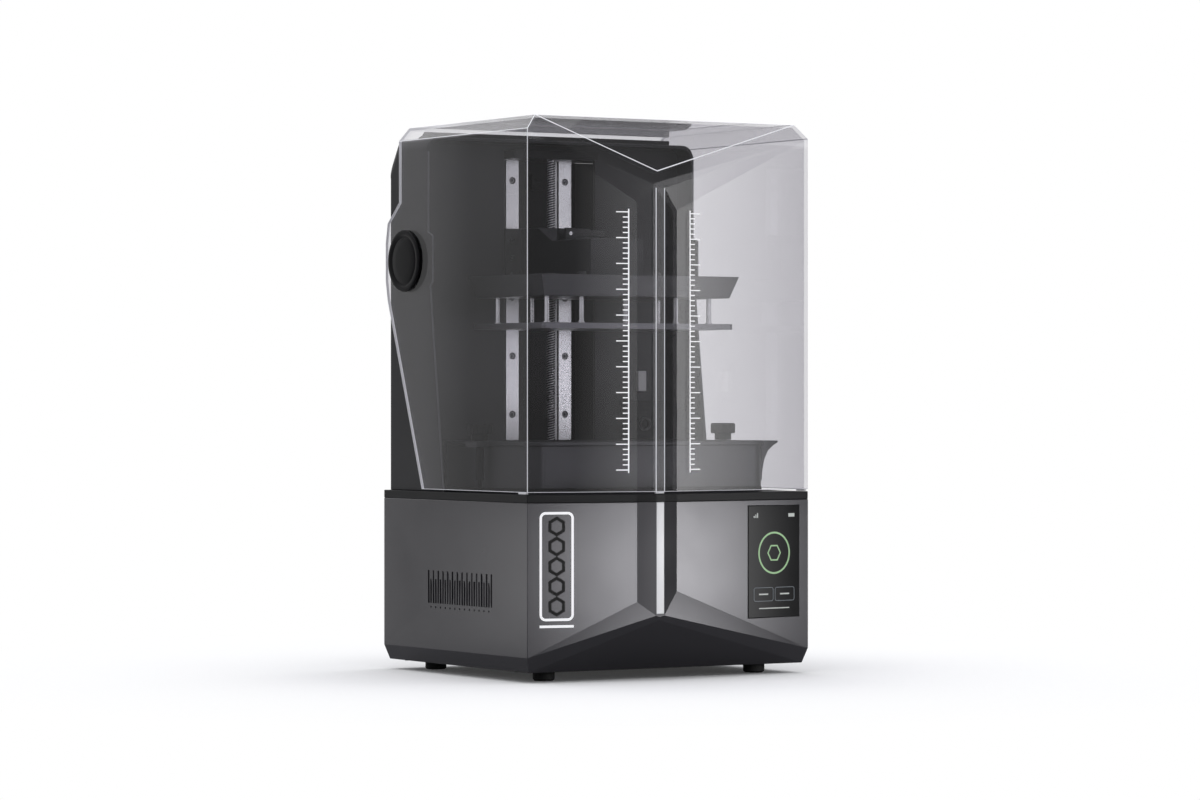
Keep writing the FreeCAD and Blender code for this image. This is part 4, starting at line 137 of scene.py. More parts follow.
def soft_lamp(name, place, aim, width, height, power):
    """Rectangular lamp at place, turned so that its face points at aim."""
    data = bpy.data.lights.new(name, "AREA")
    data.shape = "RECTANGLE"
    data.size = width
    data.size_y = height
    data.energy = power
    lamp = bpy.data.objects.new(name, data)
    lamp.location = place
    sight = Vector(aim) - Vector(place)
    lamp.rotation_euler = sight.to_track_quat("-Z", "Y").to_euler()
    lamp.visible_camera = False
    lamp.visible_transmission = False
    scene.collection.objects.link(lamp)


soft_lamp(
    "overhead_lamp", place=(0.10, 0.20, 2.1), aim=(0.0, 0.0, 0.3), width=1.6, height=1.6, power=20.0
)

# Reflecting cards stand round the machine, as in any product studio: only a gloss sees them, and they
# give each front face a sheen that fades along it. Each is a sheet of glowing card on edge.
CARD_COLUMNS = 17
BASE_SPAN = (-0.02, 0.166)
LID_SPAN = (0.166, 0.560)
LID_WALL_SPAN = (0.166, 0.600)
WHOLE_SPAN = (-0.02, 0.560)
TOP_SPAN = (0.900, 1.250)
SLANT_SPAN = (1.050, 1.400)
POLE_REACH = 1e-7


def blank_material(name):
    """New material, and its node tree with nothing in it."""
    material = bpy.data.materials.new(name)
    material.use_nodes = True
    material.node_tree.nodes.clear()
    return material, material.node_tree


def wrapped_grid(rows, columns, close_rows, close_columns):
    """Quads of a grid of points numbered row by row, joined round where a direction closes."""
    i = np.arange(rows if close_rows else rows - 1)[:, None]
    j = np.arange(columns if close_columns else columns - 1)[None, :]
    up = (i + 1) % rows
    along = (j + 1) % columns
    corners = (i * columns + j, i * columns + along, up * columns + along, up * columns + j)
    return np.stack(corners, -1).reshape(-1, 4)


def mesh_piece(name, points, faces, material, smooth=False):
    """Mesh object from an array of points and a list of faces, with poles closed and normals outwards."""
    mesh = bpy.data.meshes.new(name)
    mesh.from_pydata(np.reshape(points, (-1, 3)).tolist(), [], [list(face) for face in faces])
    shape = bmesh.new()
    shape.from_mesh(mesh)
    bmesh.ops.remove_doubles(shape, verts=shape.verts, dist=POLE_REACH)
    bmesh.ops.recalc_face_normals(shape, faces=shape.faces)
    shape.to_mesh(mesh)
    shape.free()
    mesh.polygons.foreach_set("use_smooth", np.full(len(mesh.polygons), smooth))
    mesh.materials.append(material)
    piece = bpy.data.objects.new(name, mesh)
    scene.collection.objects.link(piece)
    return piece


def point_values(piece, name, values):
    """Gives each point of a piece's mesh a number under a name, for its material to read."""
    numbers = piece.data.attributes.new(name, "FLOAT", "POINT")
    numbers.data.foreach_set("value", np.ravel(values).astype(np.float32))


def sheen_card(name, start, end, span, glow, full_share, least=0.0, in_lid=True):
    """Upright card from start to end in plan, over a span of heights.

    Its glow is full for a share of its length and then fades evenly to a least share. A card that is not
    for the lid is missed by the sharp reflections that only polished faces give.
    """
    along = np.linspace(0.0, 1.0, CARD_COLUMNS)[None, :, None]
    plan = np.array(start) + along * (np.array(end) - np.array(start))
    plan = np.repeat(plan, 2, axis=0)
    height = np.broadcast_to(np.array(span)[:, None, None], (2, CARD_COLUMNS, 1))
    fade = np.clip((1.0 - along) / (1.0 - full_share), 0.0, 1.0) * np.ones((2, 1, 1))
    fade = least + (1.0 - least) * fade
    material, tree = blank_material(name)
    share = tree.nodes.new("ShaderNodeAttribute")
    share.attribute_name = "fade"
    bright = tree.nodes.new("ShaderNodeMath")
    bright.operation = "MULTIPLY"
    bright.inputs[1].default_value = glow
    tree.links.new(share.outputs["Fac"], bright.inputs[0])
    light = tree.nodes.new("ShaderNodeEmission")
    tree.links.new(bright.outputs[0], light.inputs["Strength"])
    if not in_lid:
        missed = tree.nodes.new("ShaderNodeBsdfTransparent")
        light = mixed(tree, seen_by(tree, "Is Singular Ray"), light, missed)
    set_surface(tree, light)
    points = np.concatenate([plan, height], -1)
    card = mesh_piece(name, points, wrapped_grid(2, CARD_COLUMNS, False, False), material)
    point_values(card, "fade", fade)
    card.visible_camera = False
    card.visible_diffuse = False
    card.visible_transmission = False
    card.visible_shadow = False


sheen_card("left_facet_card", (0.150, -0.755), (-0.085, -0.720), BASE_SPAN, 15.0, 0.30, in_lid=False)
sheen_card("left_bevel_card", (-0.085, -0.720), (-0.300, -0.690), BASE_SPAN, 0.0, 0.0, in_lid=False)
sheen_card("ridge_card", (0.180, -0.700), (0.300, -0.640), BASE_SPAN, 1.6, 0.95, in_lid=False)
sheen_card("right_facet_card", (0.330, -0.640), (0.620, -0.535), BASE_SPAN, 14.5, 0.50, in_lid=False)
sheen_card("right_bevel_card", (0.640, -0.530), (0.740, -0.250), WHOLE_SPAN, 0.0, 0.0)
sheen_card("left_wall_card", (-0.480, 0.250), (-0.480, 0.675), BASE_SPAN, 2.1, 0.15, in_lid=False)
sheen_card("lid_left_card", (0.150, -0.755), (-0.030, -0.728), LID_SPAN, 1.7, 0.35, 0.16)
sheen_card("lid_bevel_card", (-0.030, -0.728), (-0.300, -0.690), LID_SPAN, 0.27, 0.0, 1.0)
sheen_card("lid_wall_card", (-0.480, 0.720), (-0.480, 0.530), LID_WALL_SPAN, 0.54, 0.42, 0.56)
sheen_card("lid_wall_dark_card", (-0.480, 0.530), (-0.480, 0.300), LID_WALL_SPAN, 0.30, 0.0, 1.0)
sheen_card("lid_top_card", (0.284, -0.672), (0.556, -0.378), TOP_SPAN, 0.35, 0.95)
sheen_card("lid_slant_card", (0.010, -0.543), (0.214, -0.417), SLANT_SPAN, 1.8, 0.95)
sheen_card("lid_right_card", (0.430, -0.575), (0.640, -0.525), LID_SPAN, 2.9, 0.20)

# The floor: a broad sheet of pale paper rolled out flat under the machine. It runs out to white and
# keeps the machine's soft shadow.
FLOOR_REACH = 6.0
FLOOR_LINES = 9
FLOOR_FADE = (0.30, 0.75)
FLOOR_LIFT = 0.04
PAPER_LIT = (0.84, 0.84, 0.85, 1.0)
PAPER_BOUNCE = (0.30, 0.30, 0.31, 1.0)


def floor_paper():
    """Paper: lit, with a little light of its own so that shadows show soft, fading to plain white far out."""
    material, tree = blank_material("floor_paper")
    place = tree.nodes.new("ShaderNodeTexCoord")
    reach = tree.nodes.new("ShaderNodeVectorMath")
    reach.operation = "LENGTH"
    tree.links.new(place.outputs["Object"], reach.inputs[0])
    fade = tree.nodes.new("ShaderNodeMapRange")
    fade.inputs["From Min"].default_value = FLOOR_FADE[0]
    fade.inputs["From Max"].default_value = FLOOR_FADE[1]
    tree.links.new(reach.outputs["Value"], fade.inputs["Value"])
    lit = tree.nodes.new("ShaderNodeBsdfDiffuse")
    lit.inputs["Color"].default_value = PAPER_LIT
    lift = tree.nodes.new("ShaderNodeEmission")
    lift.inputs["Strength"].default_value = FLOOR_LIFT
    near = tree.nodes.new("ShaderNodeAddShader")
    tree.links.new(lit.outputs[0], near.inputs[0])
    tree.links.new(lift.outputs[0], near.inputs[1])
    far = tree.nodes.new("ShaderNodeEmission")
    far.inputs["Color"].default_value = WHITE
    bounce = tree.nodes.new("ShaderNodeBsdfDiffuse")
    bounce.inputs["Color"].default_value = PAPER_BOUNCE
    far_gloss = tree.nodes.new("ShaderNodeMath")
    far_gloss.operation = "MULTIPLY"
    tree.links.new(seen_by(tree, "Is Glossy Ray"), far_gloss.inputs[0])
    tree.links.new(fade.outputs["Result"], far_gloss.inputs[1])
    seen = mixed(tree, fade.outputs["Result"], near, far)
    unseen = mixed(tree, far_gloss.outputs[0], bounce, far)
    set_surface(tree, mixed(tree, seen_by(tree, "Is Camera Ray", "Is Transmission Ray"), unseen, seen))
    return material


floor_line = np.linspace(-FLOOR_REACH, FLOOR_REACH, FLOOR_LINES)
floor_x, floor_y = np.meshgrid(floor_line, floor_line)
floor_points = np.stack([floor_x, floor_y, np.zeros_like(floor_x)], -1)
floor_faces = wrapped_grid(FLOOR_LINES, FLOOR_LINES, False, False)
mesh_piece("floor", floor_points, floor_faces, floor_paper())

# The housing of the base: folded sheet metal with slanted bands at the foot, painted a satin grey
# with a fine metallic fleck, its edges slightly rounded by the folding and the paint.
MM = 0.001
JOIN_REACH = 0.002 * MM
NORMALS_PART = 0.02
FLAT_TURN = 0.01
SHORTEST_EDGE = 0.8 * MM
BEVEL_ROOM = 2.2
BEVEL_STEPS = 2
GROOVE_REACH = 4.0 * MM
DRIFT_SCALE = 28.0
DRIFT_DETAIL = 5.0
FINE_DETAIL = 2.0
ROUGH_DRIFT = 0.05
LEAST_ROUGH = 0.02
BUMP_STRENGTH = 0.5


def shade(red, green, blue):
    """Linear colour of a screen colour given in parts of 255, by the screen's own curve."""
    screen = np.array([red, green, blue]) / 255.0
    linear = np.where(screen <= 0.04045, screen / 12.92, ((screen + 0.055) / 1.055) ** 2.4)
    return (*linear.tolist(), 1.0)


def finish(
    name, colour, rough, metal=0.0, gloss=0.5,
    grain=0.4 * MM, depth=0.0, mottle=0.05, stretch=(1.0, 1.0, 1.0),
):
    """Surface whose colour and roughness drift with a broad noise and whose bump is a fine noise.

    Grain is the size of the fine noise and depth the height of its bump. Stretch draws the fine noise out
    along an axis, as brushing or turning marks are.
    """
    material = bpy.data.materials.new(name)
    material.use_nodes = True
    tree = material.node_tree
    surface = tree.nodes["Principled BSDF"]
    surface.inputs["Metallic"].default_value = metal
    surface.inputs["Specular IOR Level"].default_value = gloss
    place = tree.nodes.new("ShaderNodeTexCoord")
    drift = tree.nodes.new("ShaderNodeTexNoise")
    drift.inputs["Scale"].default_value = DRIFT_SCALE
    drift.inputs["Detail"].default_value = DRIFT_DETAIL
    tree.links.new(place.outputs["Object"], drift.inputs["Vector"])
    turn = tree.nodes.new("ShaderNodeMapping")
    turn.inputs["Scale"].default_value = stretch
    tree.links.new(place.outputs["Object"], turn.inputs["Vector"])
    fine = tree.nodes.new("ShaderNodeTexNoise")
    fine.inputs["Scale"].default_value = 1.0 / grain
    fine.inputs["Detail"].default_value = FINE_DETAIL
    tree.links.new(turn.outputs["Vector"], fine.inputs["Vector"])
    both = tree.nodes.new("ShaderNodeMath")
    both.operation = "ADD"
    tree.links.new(drift.outputs["Fac"], both.inputs[0])
    tree.links.new(fine.outputs["Fac"], both.inputs[1])
    half = tree.nodes.new("ShaderNodeMath")
    half.operation = "MULTIPLY"
    half.inputs[1].default_value = 0.5
    tree.links.new(both.outputs[0], half.inputs[0])
    tone = tree.nodes.new("ShaderNodeMix")
    tone.data_type = "RGBA"
    tone.inputs["A"].default_value = (*[c * (1.0 - mottle) for c in colour[:3]], 1.0)
    tone.inputs["B"].default_value = (*[min(1.0, c * (1.0 + mottle)) for c in colour[:3]], 1.0)
    tree.links.new(half.outputs[0], tone.inputs["Factor"])
    tree.links.new(tone.outputs["Result"], surface.inputs["Base Color"])
    dull = tree.nodes.new("ShaderNodeMapRange")
    dull.inputs["To Min"].default_value = max(LEAST_ROUGH, rough - ROUGH_DRIFT)
    dull.inputs["To Max"].default_value = min(1.0, rough + ROUGH_DRIFT)
    tree.links.new(drift.outputs["Fac"], dull.inputs["Value"])
    tree.links.new(dull.outputs["Result"], surface.inputs["Roughness"])
    if depth:
        bump = tree.nodes.new("ShaderNodeBump")
        bump.inputs["Strength"].default_value = BUMP_STRENGTH
        bump.inputs["Distance"].default_value = depth
        tree.links.new(fine.outputs["Fac"], bump.inputs["Height"])
        tree.links.new(bump.outputs["Normal"], surface.inputs["Normal"])
    return material


def coat(material, *nodes):
    """Gives CAD nodes their finished material."""
    for node in nodes:
        mesh = frame["nodes"][node].data
        mesh.materials.clear()
        mesh.materials.append(material)


def near_groove(edge, groove):
    """Whether an end of the edge lies within a few millimetres of the groove's box."""
    if groove is None:
        return False
    low, high = groove
    ends = np.array([end.co for end in edge.verts])
    inside = (ends > np.array(low) - GROOVE_REACH) & (ends < np.array(high) + GROOVE_REACH)
    return bool(inside.all(axis=1).any())


def breadth(face):
    """How broad a face is: twice its area over its outline, which is the width of a long strip."""
    return 2.0 * face.calc_area() / face.calc_perimeter()


def rounded(node, name, radius, material, folds=((4.0, 180.0),), inside=True, groove=None):
    """Stand-in for a CAD node with rounded edges.

    Its points are merged and its flat faces joined. An edge is a real one where the surface normals of its
    two faces part at an end. A bevel runs along each real edge that turns by an angle within one of the
    folds, in degrees, is long enough to be worth rounding, and lies between faces broad enough for it.
    Inside corners may be left sharp, and so are edges that end at a groove, given as a box. The flat faces
    keep their flat shading.
    """
    source = frame["nodes"][node]
    mesh = source.data.copy()
    mesh.name = name
    normals = np.empty(len(mesh.loops) * 3, np.float32)
    mesh.corner_normals.foreach_get("vector", normals)
    mesh.attributes.new("surface_normal", "FLOAT_VECTOR", "CORNER").data.foreach_set("vector", normals)
    mesh.attributes.remove(mesh.attributes["custom_normal"])
    shape = bmesh.new()
    shape.from_mesh(mesh)
    bmesh.ops.remove_doubles(shape, verts=shape.verts, dist=JOIN_REACH)
    normal = shape.loops.layers.float_vector["surface_normal"]
    for edge in shape.edges:
        one, other = edge.link_loops
        start = one[normal] - other.link_loop_next[normal]
        end = one.link_loop_next[normal] - other[normal]
        edge.smooth = max(start.length, end.length) < NORMALS_PART
    bmesh.ops.dissolve_limit(shape, angle_limit=FLAT_TURN, verts=shape.verts, edges=shape.edges)
    shape.loops.layers.float_vector.remove(shape.loops.layers.float_vector["surface_normal"])
    weight = shape.edges.layers.float.new("bevel_weight_edge")
    for edge in shape.edges:
        angle = math.degrees(edge.calc_face_angle(0.0))
        turns = not edge.smooth and any(low < angle < high for low, high in folds)
        narrowest = min(breadth(face) for face in edge.link_faces)
        roomy = edge.calc_length() > SHORTEST_EDGE and narrowest > BEVEL_ROOM * radius
        free = (inside or edge.is_convex) and not near_groove(edge, groove)
        edge[weight] = float(turns and roomy and free)
    shape.to_mesh(mesh)
    shape.free()
    mesh.polygons.foreach_set("use_smooth", np.ones(len(mesh.polygons), bool))
    mesh.materials.clear()
    mesh.materials.append(material)
    piece = bpy.data.objects.new(name, mesh)
    scene.collection.objects.link(piece)
    edge_round = piece.modifiers.new("edge_round", "BEVEL")
    edge_round.width = radius
    edge_round.segments = BEVEL_STEPS
    edge_round.limit_method = "WEIGHT"
    edge_round.use_clamp_overlap = False
    point_join = piece.modifiers.new("point_join", "WELD")
    point_join.merge_threshold = JOIN_REACH
    flat_shading = piece.modifiers.new("flat_shading", "WEIGHTED_NORMAL")
    flat_shading.keep_sharp = True
    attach(piece, source["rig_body"])
    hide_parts(node)
    return piece


grey_paint = finish(
    "grey_paint", shade(59, 58, 62), 0.25, metal=0.35, grain=0.5 * MM, depth=0.012 * MM, mottle=0.06
)
rounded(
    "base_shell", "painted_base", 0.6 * MM, grey_paint,
    inside=False, groove=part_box("front_spine_strip"),
)

# The bright strip in the ridge of the base: an extruded aluminium trim, brushed along its length and let
# into a groove.
bright_trim = finish(
    "bright_trim", shade(192, 192, 195), 0.22, metal=0.2, grain=0.3 * MM, depth=0.004 * MM,
    stretch=(1.0, 1.0, 0.05),
)
rounded("front_spine_strip", "ridge_strip", 0.4 * MM, bright_trim)

# A printed panel on the left facet: a thin light frame with a bar below it and a column of dark six-sided
# rings inside. It is ink on a thin film that is stuck to the paint. The white ink also glows a little, a
# painted brightness that no lamp gives.
FRONT_CORNER = (-163.7 * MM, -128.4 * MM)
LEFT_BEVEL = (-53.25 * MM, -151.1 * MM)
RIGHT_BEVEL = (-7.35 * MM, -151.1 * MM)
RIGHT_CORNER = (163.7 * MM, -128.4 * MM)
FILM = (0.0, 0.12 * MM)
PANEL = np.array([12.5, 47.5, 60.0, 165.0]) * MM
PANEL_CORNER = 6.0 * MM
PANEL_LINE = 2.4 * MM
PANEL_BAR = np.array([[12.5, 47.5, 53.5, 55.9]]) * MM
PANEL_MIDDLE = 30.0 * MM
RING_HEIGHTS = np.linspace(74.0 * MM, 151.0 * MM, 5)
RING_RADII = (9.8 * MM, 6.2 * MM)
RING_TURN = math.pi / 6
SIX_SIDES = 6


def facet_place(start, end):
    """Rule that lays a flat drawing on the upright face between two plan corners.

    The first measure runs from start towards end, the second is the height, and the third stands out of
    the face.
    """
    start, end = np.array(start), np.array(end)
    along = (end - start) / np.linalg.norm(end - start)
    outward = np.array([along[1], -along[0]])

    def place(u, v, w):
        plan = start + u[..., None] * along + w[..., None] * outward
        return np.concatenate([plan, np.broadcast_to(v, u.shape)[..., None]], -1)

    return place


def banded(outer, inner, place, layer):
    """Flat closed bands: a square section, from outer to inner line, carried round each closed outline."""
    low = np.full(outer.shape[:-1], layer[0])
    high = np.full(outer.shape[:-1], layer[1])
    rails = [(inner, low), (outer, low), (outer, high), (inner, high)]
    points = np.stack([place(line[..., 0], line[..., 1], level) for line, level in rails], -2)
    count, sides = outer.shape[:2]
    each = wrapped_grid(sides, 4, True, True)
    return points, (each[None] + np.arange(count)[:, None, None] * sides * 4).reshape(-1, 4)


def slabs(boxes, place, layer):
    """Flat blocks, each from left to right and from bottom to top in the drawing, as thick as the layer."""
    u = boxes[:, [0, 1, 1, 0]][:, None, :] * np.ones((1, 2, 1))
    v = boxes[:, [2, 2, 3, 3]][:, None, :] * np.ones((1, 2, 1))
    w = np.array(layer)[None, :, None] * np.ones((len(boxes), 1, 4))
    sides = [[0, 1, 5, 4], [1, 2, 6, 5], [2, 3, 7, 6], [3, 0, 4, 7], [3, 2, 1, 0], [4, 5, 6, 7]]
    faces = np.array(sides)[None] + np.arange(len(boxes))[:, None, None] * 8
    return place(u, v, w), faces.reshape(-1, 4)


def ring_bands(centres, radii, sides, place, layer, turn=0.0):
    """Flat rings about each centre: bands between two regular outlines of so many sides."""
    angle = np.arange(sides) / sides * 2.0 * np.pi + turn
    circle = np.stack([np.cos(angle), np.sin(angle)], -1)
    outer, inner = [np.asarray(centres)[:, None, :] + radius * circle for radius in radii]
    return banded(outer, inner, place, layer)


def soft_box(left, right, bottom, top, corner, steps=6):
    """Closed outline of a rectangle whose corners are quarter circles."""
    quarter = np.arange(4)[:, None] * 0.5 * np.pi
    angle = (np.linspace(0.0, 0.5 * np.pi, steps)[None, :] + quarter).ravel()
    middle_u = np.repeat([right - corner, left + corner, left + corner, right - corner], steps)
    middle_v = np.repeat([top - corner, top - corner, bottom + corner, bottom + corner], steps)
    return np.stack([middle_u + corner * np.cos(angle), middle_v + corner * np.sin(angle)], -1)[None]


def soft_frame(box, corner, line, place, layer):
    """Band of one width along the inside of a rectangle with round corners."""
    left, right, bottom, top = box
    inner = soft_box(left + line, right - line, bottom + line, top - line, corner - line)
    return banded(soft_box(*box, corner), inner, place, layer)


def joined(*meshes):
    """Several lots of points and faces as one: each lot's faces count on from the points before it."""
    points = [np.reshape(lot[0], (-1, 3)) for lot in meshes]
    first = np.cumsum([0] + [len(lot) for lot in points[:-1]])
    faces = [(np.array(face) + start).tolist() for lot, start in zip(meshes, first) for face in lot[1]]
    return np.concatenate(points), faces


on_left_facet = facet_place(FRONT_CORNER, LEFT_BEVEL)
on_right_facet = facet_place(RIGHT_BEVEL, RIGHT_CORNER)


def lit_ink(name, colour, glow):
    """Faintly uneven printed or lit colour that glows: a display's light, else painted brightness."""
    material = finish(name, colour, 0.4, gloss=0.2, grain=0.5 * MM, mottle=0.06)
    surface = material.node_tree.nodes["Principled BSDF"]
    surface.inputs["Emission Color"].default_value = colour
    surface.inputs["Emission Strength"].default_value = glow
    return material


# The white ink glows a little: painted brightness, not light of its own.
white_ink_painted_glow = lit_ink("white_ink_painted_glow", shade(236, 236, 238), 0.5)
black_ink = finish("black_ink", shade(14, 14, 15), 0.5, gloss=0.15, grain=0.3 * MM, mottle=0.1)
panel_frame = mesh_piece("panel_frame", *joined(
    soft_frame(PANEL, PANEL_CORNER, PANEL_LINE, on_left_facet, FILM),
    slabs(PANEL_BAR, on_left_facet, FILM),
), white_ink_painted_glow)
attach(panel_frame, "base")
ring_spots = np.column_stack([np.full(len(RING_HEIGHTS), PANEL_MIDDLE), RING_HEIGHTS])
panel_rings = mesh_piece("panel_rings", *ring_bands(
    ring_spots, RING_RADII, SIX_SIDES, on_left_facet, FILM, RING_TURN
), black_ink)
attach(panel_rings, "base")

# The deck between base and lid: a moulded black frame with a fine spark-eroded grain, which closes the top
# of the housing round the vat and the lift.
deck_black = finish(
    "deck_black", shade(22, 22, 24), 0.46, gloss=0.12, grain=0.9 * MM, depth=0.004 * MM
)
rounded("deck_frame", "moulded_deck", 0.7 * MM, deck_black)

# The bottom pan is folded steel with a textured black powder coat, screwed on from below. The feet under
# it are turned rubber. The motors inside have the same black coat as the pan.
powder_black = finish(
    "powder_black", shade(34, 34, 37), 0.55, metal=0.2, gloss=0.3, grain=0.7 * MM, depth=0.05 * MM
)
coat(powder_black, "bottom_pan", "z_motor", "tilt_motor")
foot_rubber = finish(
    "foot_rubber", shade(22, 22, 23), 0.75, gloss=0.25, grain=0.8 * MM, depth=0.05 * MM, mottle=0.15
)
rounded("rubber_feet", "turned_feet", 0.6 * MM, foot_rubber)

# The touch screen on the right facet: black glass bonded over a display module, which is lit with plain
# shapes: a dial, two tiles and a few bars.
SCREEN_LEFT = 92.55 * MM
SCREEN_FOOT = 57.0 * MM
SCREEN_LAYER = (0.6 * MM, 0.68 * MM)
TILES = np.array([[7.0, 33.0, 16.0, 30.0], [35.0, 61.0, 16.0, 30.0]]) * MM
TILE_CORNER = 2.5 * MM
TILE_LINE = 0.7 * MM
DIAL = np.array([[34.0, 64.0]]) * MM
DIAL_RIM = (21.0 * MM, 19.2 * MM)
DIAL_HUB = (9.0 * MM, 7.4 * MM)
DIAL_SIDES = 48
MARKS = np.array([
    [7.0, 8.2, 99.0, 101.0], [9.2, 10.4, 99.0, 102.4], [11.4, 12.6, 99.0, 103.8],
    [53.0, 61.0, 99.6, 103.0],
    [14.0, 26.0, 22.4, 23.8], [42.0, 54.0, 22.4, 23.8],
    [14.0, 54.0, 8.6, 9.6],
]) * MM
screen_glass = finish("screen_glass", shade(14, 14, 17), 0.14, gloss=0.12, grain=0.5 * MM, mottle=0.1)
rounded("touchscreen", "screen_pane", 0.4 * MM, screen_glass)


def on_screen(u, v, w):
    """A drawing laid on the glass, measured from its lower left corner."""
    return on_right_facet(u + SCREEN_LEFT, v + SCREEN_FOOT, w)


display_grey = lit_ink("display_grey", shade(98, 104, 110), 0.15)
screen_tiles = mesh_piece("screen_tiles", *joined(*[
    soft_frame(tile, TILE_CORNER, TILE_LINE, on_screen, SCREEN_LAYER) for tile in TILES
]), display_grey)
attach(screen_tiles, "base")
display_green = lit_ink("display_green", shade(150, 186, 140), 0.3)
screen_dial = mesh_piece("screen_dial", *joined(
    ring_bands(DIAL, DIAL_RIM, DIAL_SIDES, on_screen, SCREEN_LAYER),
    ring_bands(DIAL, DIAL_HUB, SIX_SIDES, on_screen, SCREEN_LAYER),
), display_green)
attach(screen_dial, "base")
display_white = lit_ink("display_white", shade(190, 194, 190), 0.25)
screen_marks = mesh_piece("screen_marks", *slabs(MARKS, on_screen, SCREEN_LAYER), display_white)
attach(screen_marks, "base")

# The lid: one clear tinted acrylic moulding hung on two side hinges, which darkens what is seen through
# it. Its narrow edge faces glow a light grey, a painted highlight, and the right bevel of its ridge is
# tinted darker, a painted shade picked by the way its faces turn.
LID_SHADOW = (0.80, 0.79, 0.84, 1.0)
LID_TINT = ((0.860, 0.856, 0.871, 1.0), (0.878, 0.874, 0.889, 1.0))
SHADE_BAND_TINT = ((0.440, 0.438, 0.446, 1.0), (0.460, 0.458, 0.466, 1.0))
HAZE_SCALE = 9.0
HAZE_DETAIL = 3.0
LID_INDEX = 1.45
LID_FOLDS = ((1.9, 4.0), (15.0, 20.0), (40.0, 180.0))
CUT_EDGE = 3.1 * MM
SHADE_BAND_RIGHTWARD = 0.25
SHADE_BAND_FORWARD = 0.9
HIGHLIGHT_SLOT = 1
SHADE_BAND_SLOT = 2


def tinted_acrylic(name, colours):
    """Clear sheet, tinted at its faces, that does not bend what is behind it.

    It mirrors by the angle it is seen at, alike from both sides. A lamp's shadow ray passes dimmed.
    """
    material, tree = blank_material(name)
    place = tree.nodes.new("ShaderNodeTexCoord")
    haze = tree.nodes.new("ShaderNodeTexNoise")
    haze.inputs["Scale"].default_value = HAZE_SCALE
    haze.inputs["Detail"].default_value = HAZE_DETAIL
    tree.links.new(place.outputs["Object"], haze.inputs["Vector"])
    tint = tree.nodes.new("ShaderNodeMix")
    tint.data_type = "RGBA"
    tint.inputs["A"].default_value = colours[0]
    tint.inputs["B"].default_value = colours[1]
    tree.links.new(haze.outputs["Fac"], tint.inputs["Factor"])
    clear = tree.nodes.new("ShaderNodeBsdfTransparent")
    tree.links.new(tint.outputs["Result"], clear.inputs["Color"])
    mirror = tree.nodes.new("ShaderNodeBsdfGlossy")
    mirror.inputs["Color"].default_value = WHITE
    mirror.inputs["Roughness"].default_value = 0.0
    side = tree.nodes.new("ShaderNodeNewGeometry")
    index = tree.nodes.new("ShaderNodeMapRange")
    index.inputs["To Min"].default_value = LID_INDEX
    index.inputs["To Max"].default_value = 1.0 / LID_INDEX
    tree.links.new(side.outputs["Backfacing"], index.inputs["Value"])
    share = tree.nodes.new("ShaderNodeFresnel")
    tree.links.new(index.outputs["Result"], share.inputs["IOR"])
    sheet = mixed(tree, share.outputs[0], clear, mirror)
    passed = tree.nodes.new("ShaderNodeBsdfTransparent")
    passed.inputs["Color"].default_value = LID_SHADOW
    set_surface(tree, mixed(tree, seen_by(tree, "Is Shadow Ray"), sheet, passed))
    return material


lid_acrylic = tinted_acrylic("tinted_acrylic", LID_TINT)
lid = rounded(
    "lid_shell", "acrylic_lid", 0.55 * MM, lid_acrylic, folds=LID_FOLDS, inside=False
)
# The narrow edge faces take a light colour that glows: a painted highlight for the light clear edges catch.
lid.data.materials.append(lit_ink("edge_painted_highlight", shade(214, 214, 219), 0.22))
lid.data.materials.append(tinted_acrylic("band_painted_shade", SHADE_BAND_TINT))
lid.modifiers["edge_round"].material = HIGHLIGHT_SLOT
lid_shape = bmesh.new()
lid_shape.from_mesh(lid.data)
for face in lid_shape.faces:
    face.material_index = HIGHLIGHT_SLOT if breadth(face) < CUT_EDGE else 0
    # Faces that turn right and forward, the ridge's right bevel, take the darker tint: painted shade.
    if face.normal.x > SHADE_BAND_RIGHTWARD and face.normal.y < -SHADE_BAND_FORWARD:
        face.material_index = SHADE_BAND_SLOT
lid_shape.to_mesh(lid.data)
lid_shape.free()

# Height scales on the outside of the lid, one on each side of the ridge: a fine upright line with ticks,
# printed in white ink that glows a little, a painted brightness.
TICKS = 51
LONG_EVERY = 5
SCALE_FOOT = 205.0 * MM
SCALE_OVERRUN = 3.0 * MM
LEFT_SCALE = 104.0 * MM
RIGHT_SCALE = 17.0 * MM
TICK_STEP = 5.0 * MM
SHORT_TICK = 6.0 * MM
LONG_TICK = 13.0 * MM
LINE_WIDTH = 1.3 * MM
TICK_WIDTH = 0.8 * LINE_WIDTH
TICK_START = 0.525 * LINE_WIDTH


def height_scale(line, side):
    """An upright line, and ticks on one side of it every few millimetres, each fifth one long."""
    number = np.arange(TICKS)
    middle = SCALE_FOOT + TICK_STEP * number
    length = np.where(number % LONG_EVERY == 0, LONG_TICK, SHORT_TICK)
    near = np.full(TICKS, line + side * TICK_START)
    ends = np.sort(np.stack([near, line + side * length], -1), -1)
    ticks = np.column_stack([ends, middle - TICK_WIDTH / 2, middle + TICK_WIDTH / 2])
    foot, head = middle[0] - SCALE_OVERRUN, middle[-1] + SCALE_OVERRUN
    return np.vstack([ticks, [line - LINE_WIDTH / 2, line + LINE_WIDTH / 2, foot, head]])


lid_scale = mesh_piece("lid_scale", *joined(
    slabs(height_scale(LEFT_SCALE, -1), on_left_facet, FILM),
    slabs(height_scale(RIGHT_SCALE, 1), on_right_facet, FILM),
), white_ink_painted_glow)
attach(lid_scale, "lid")

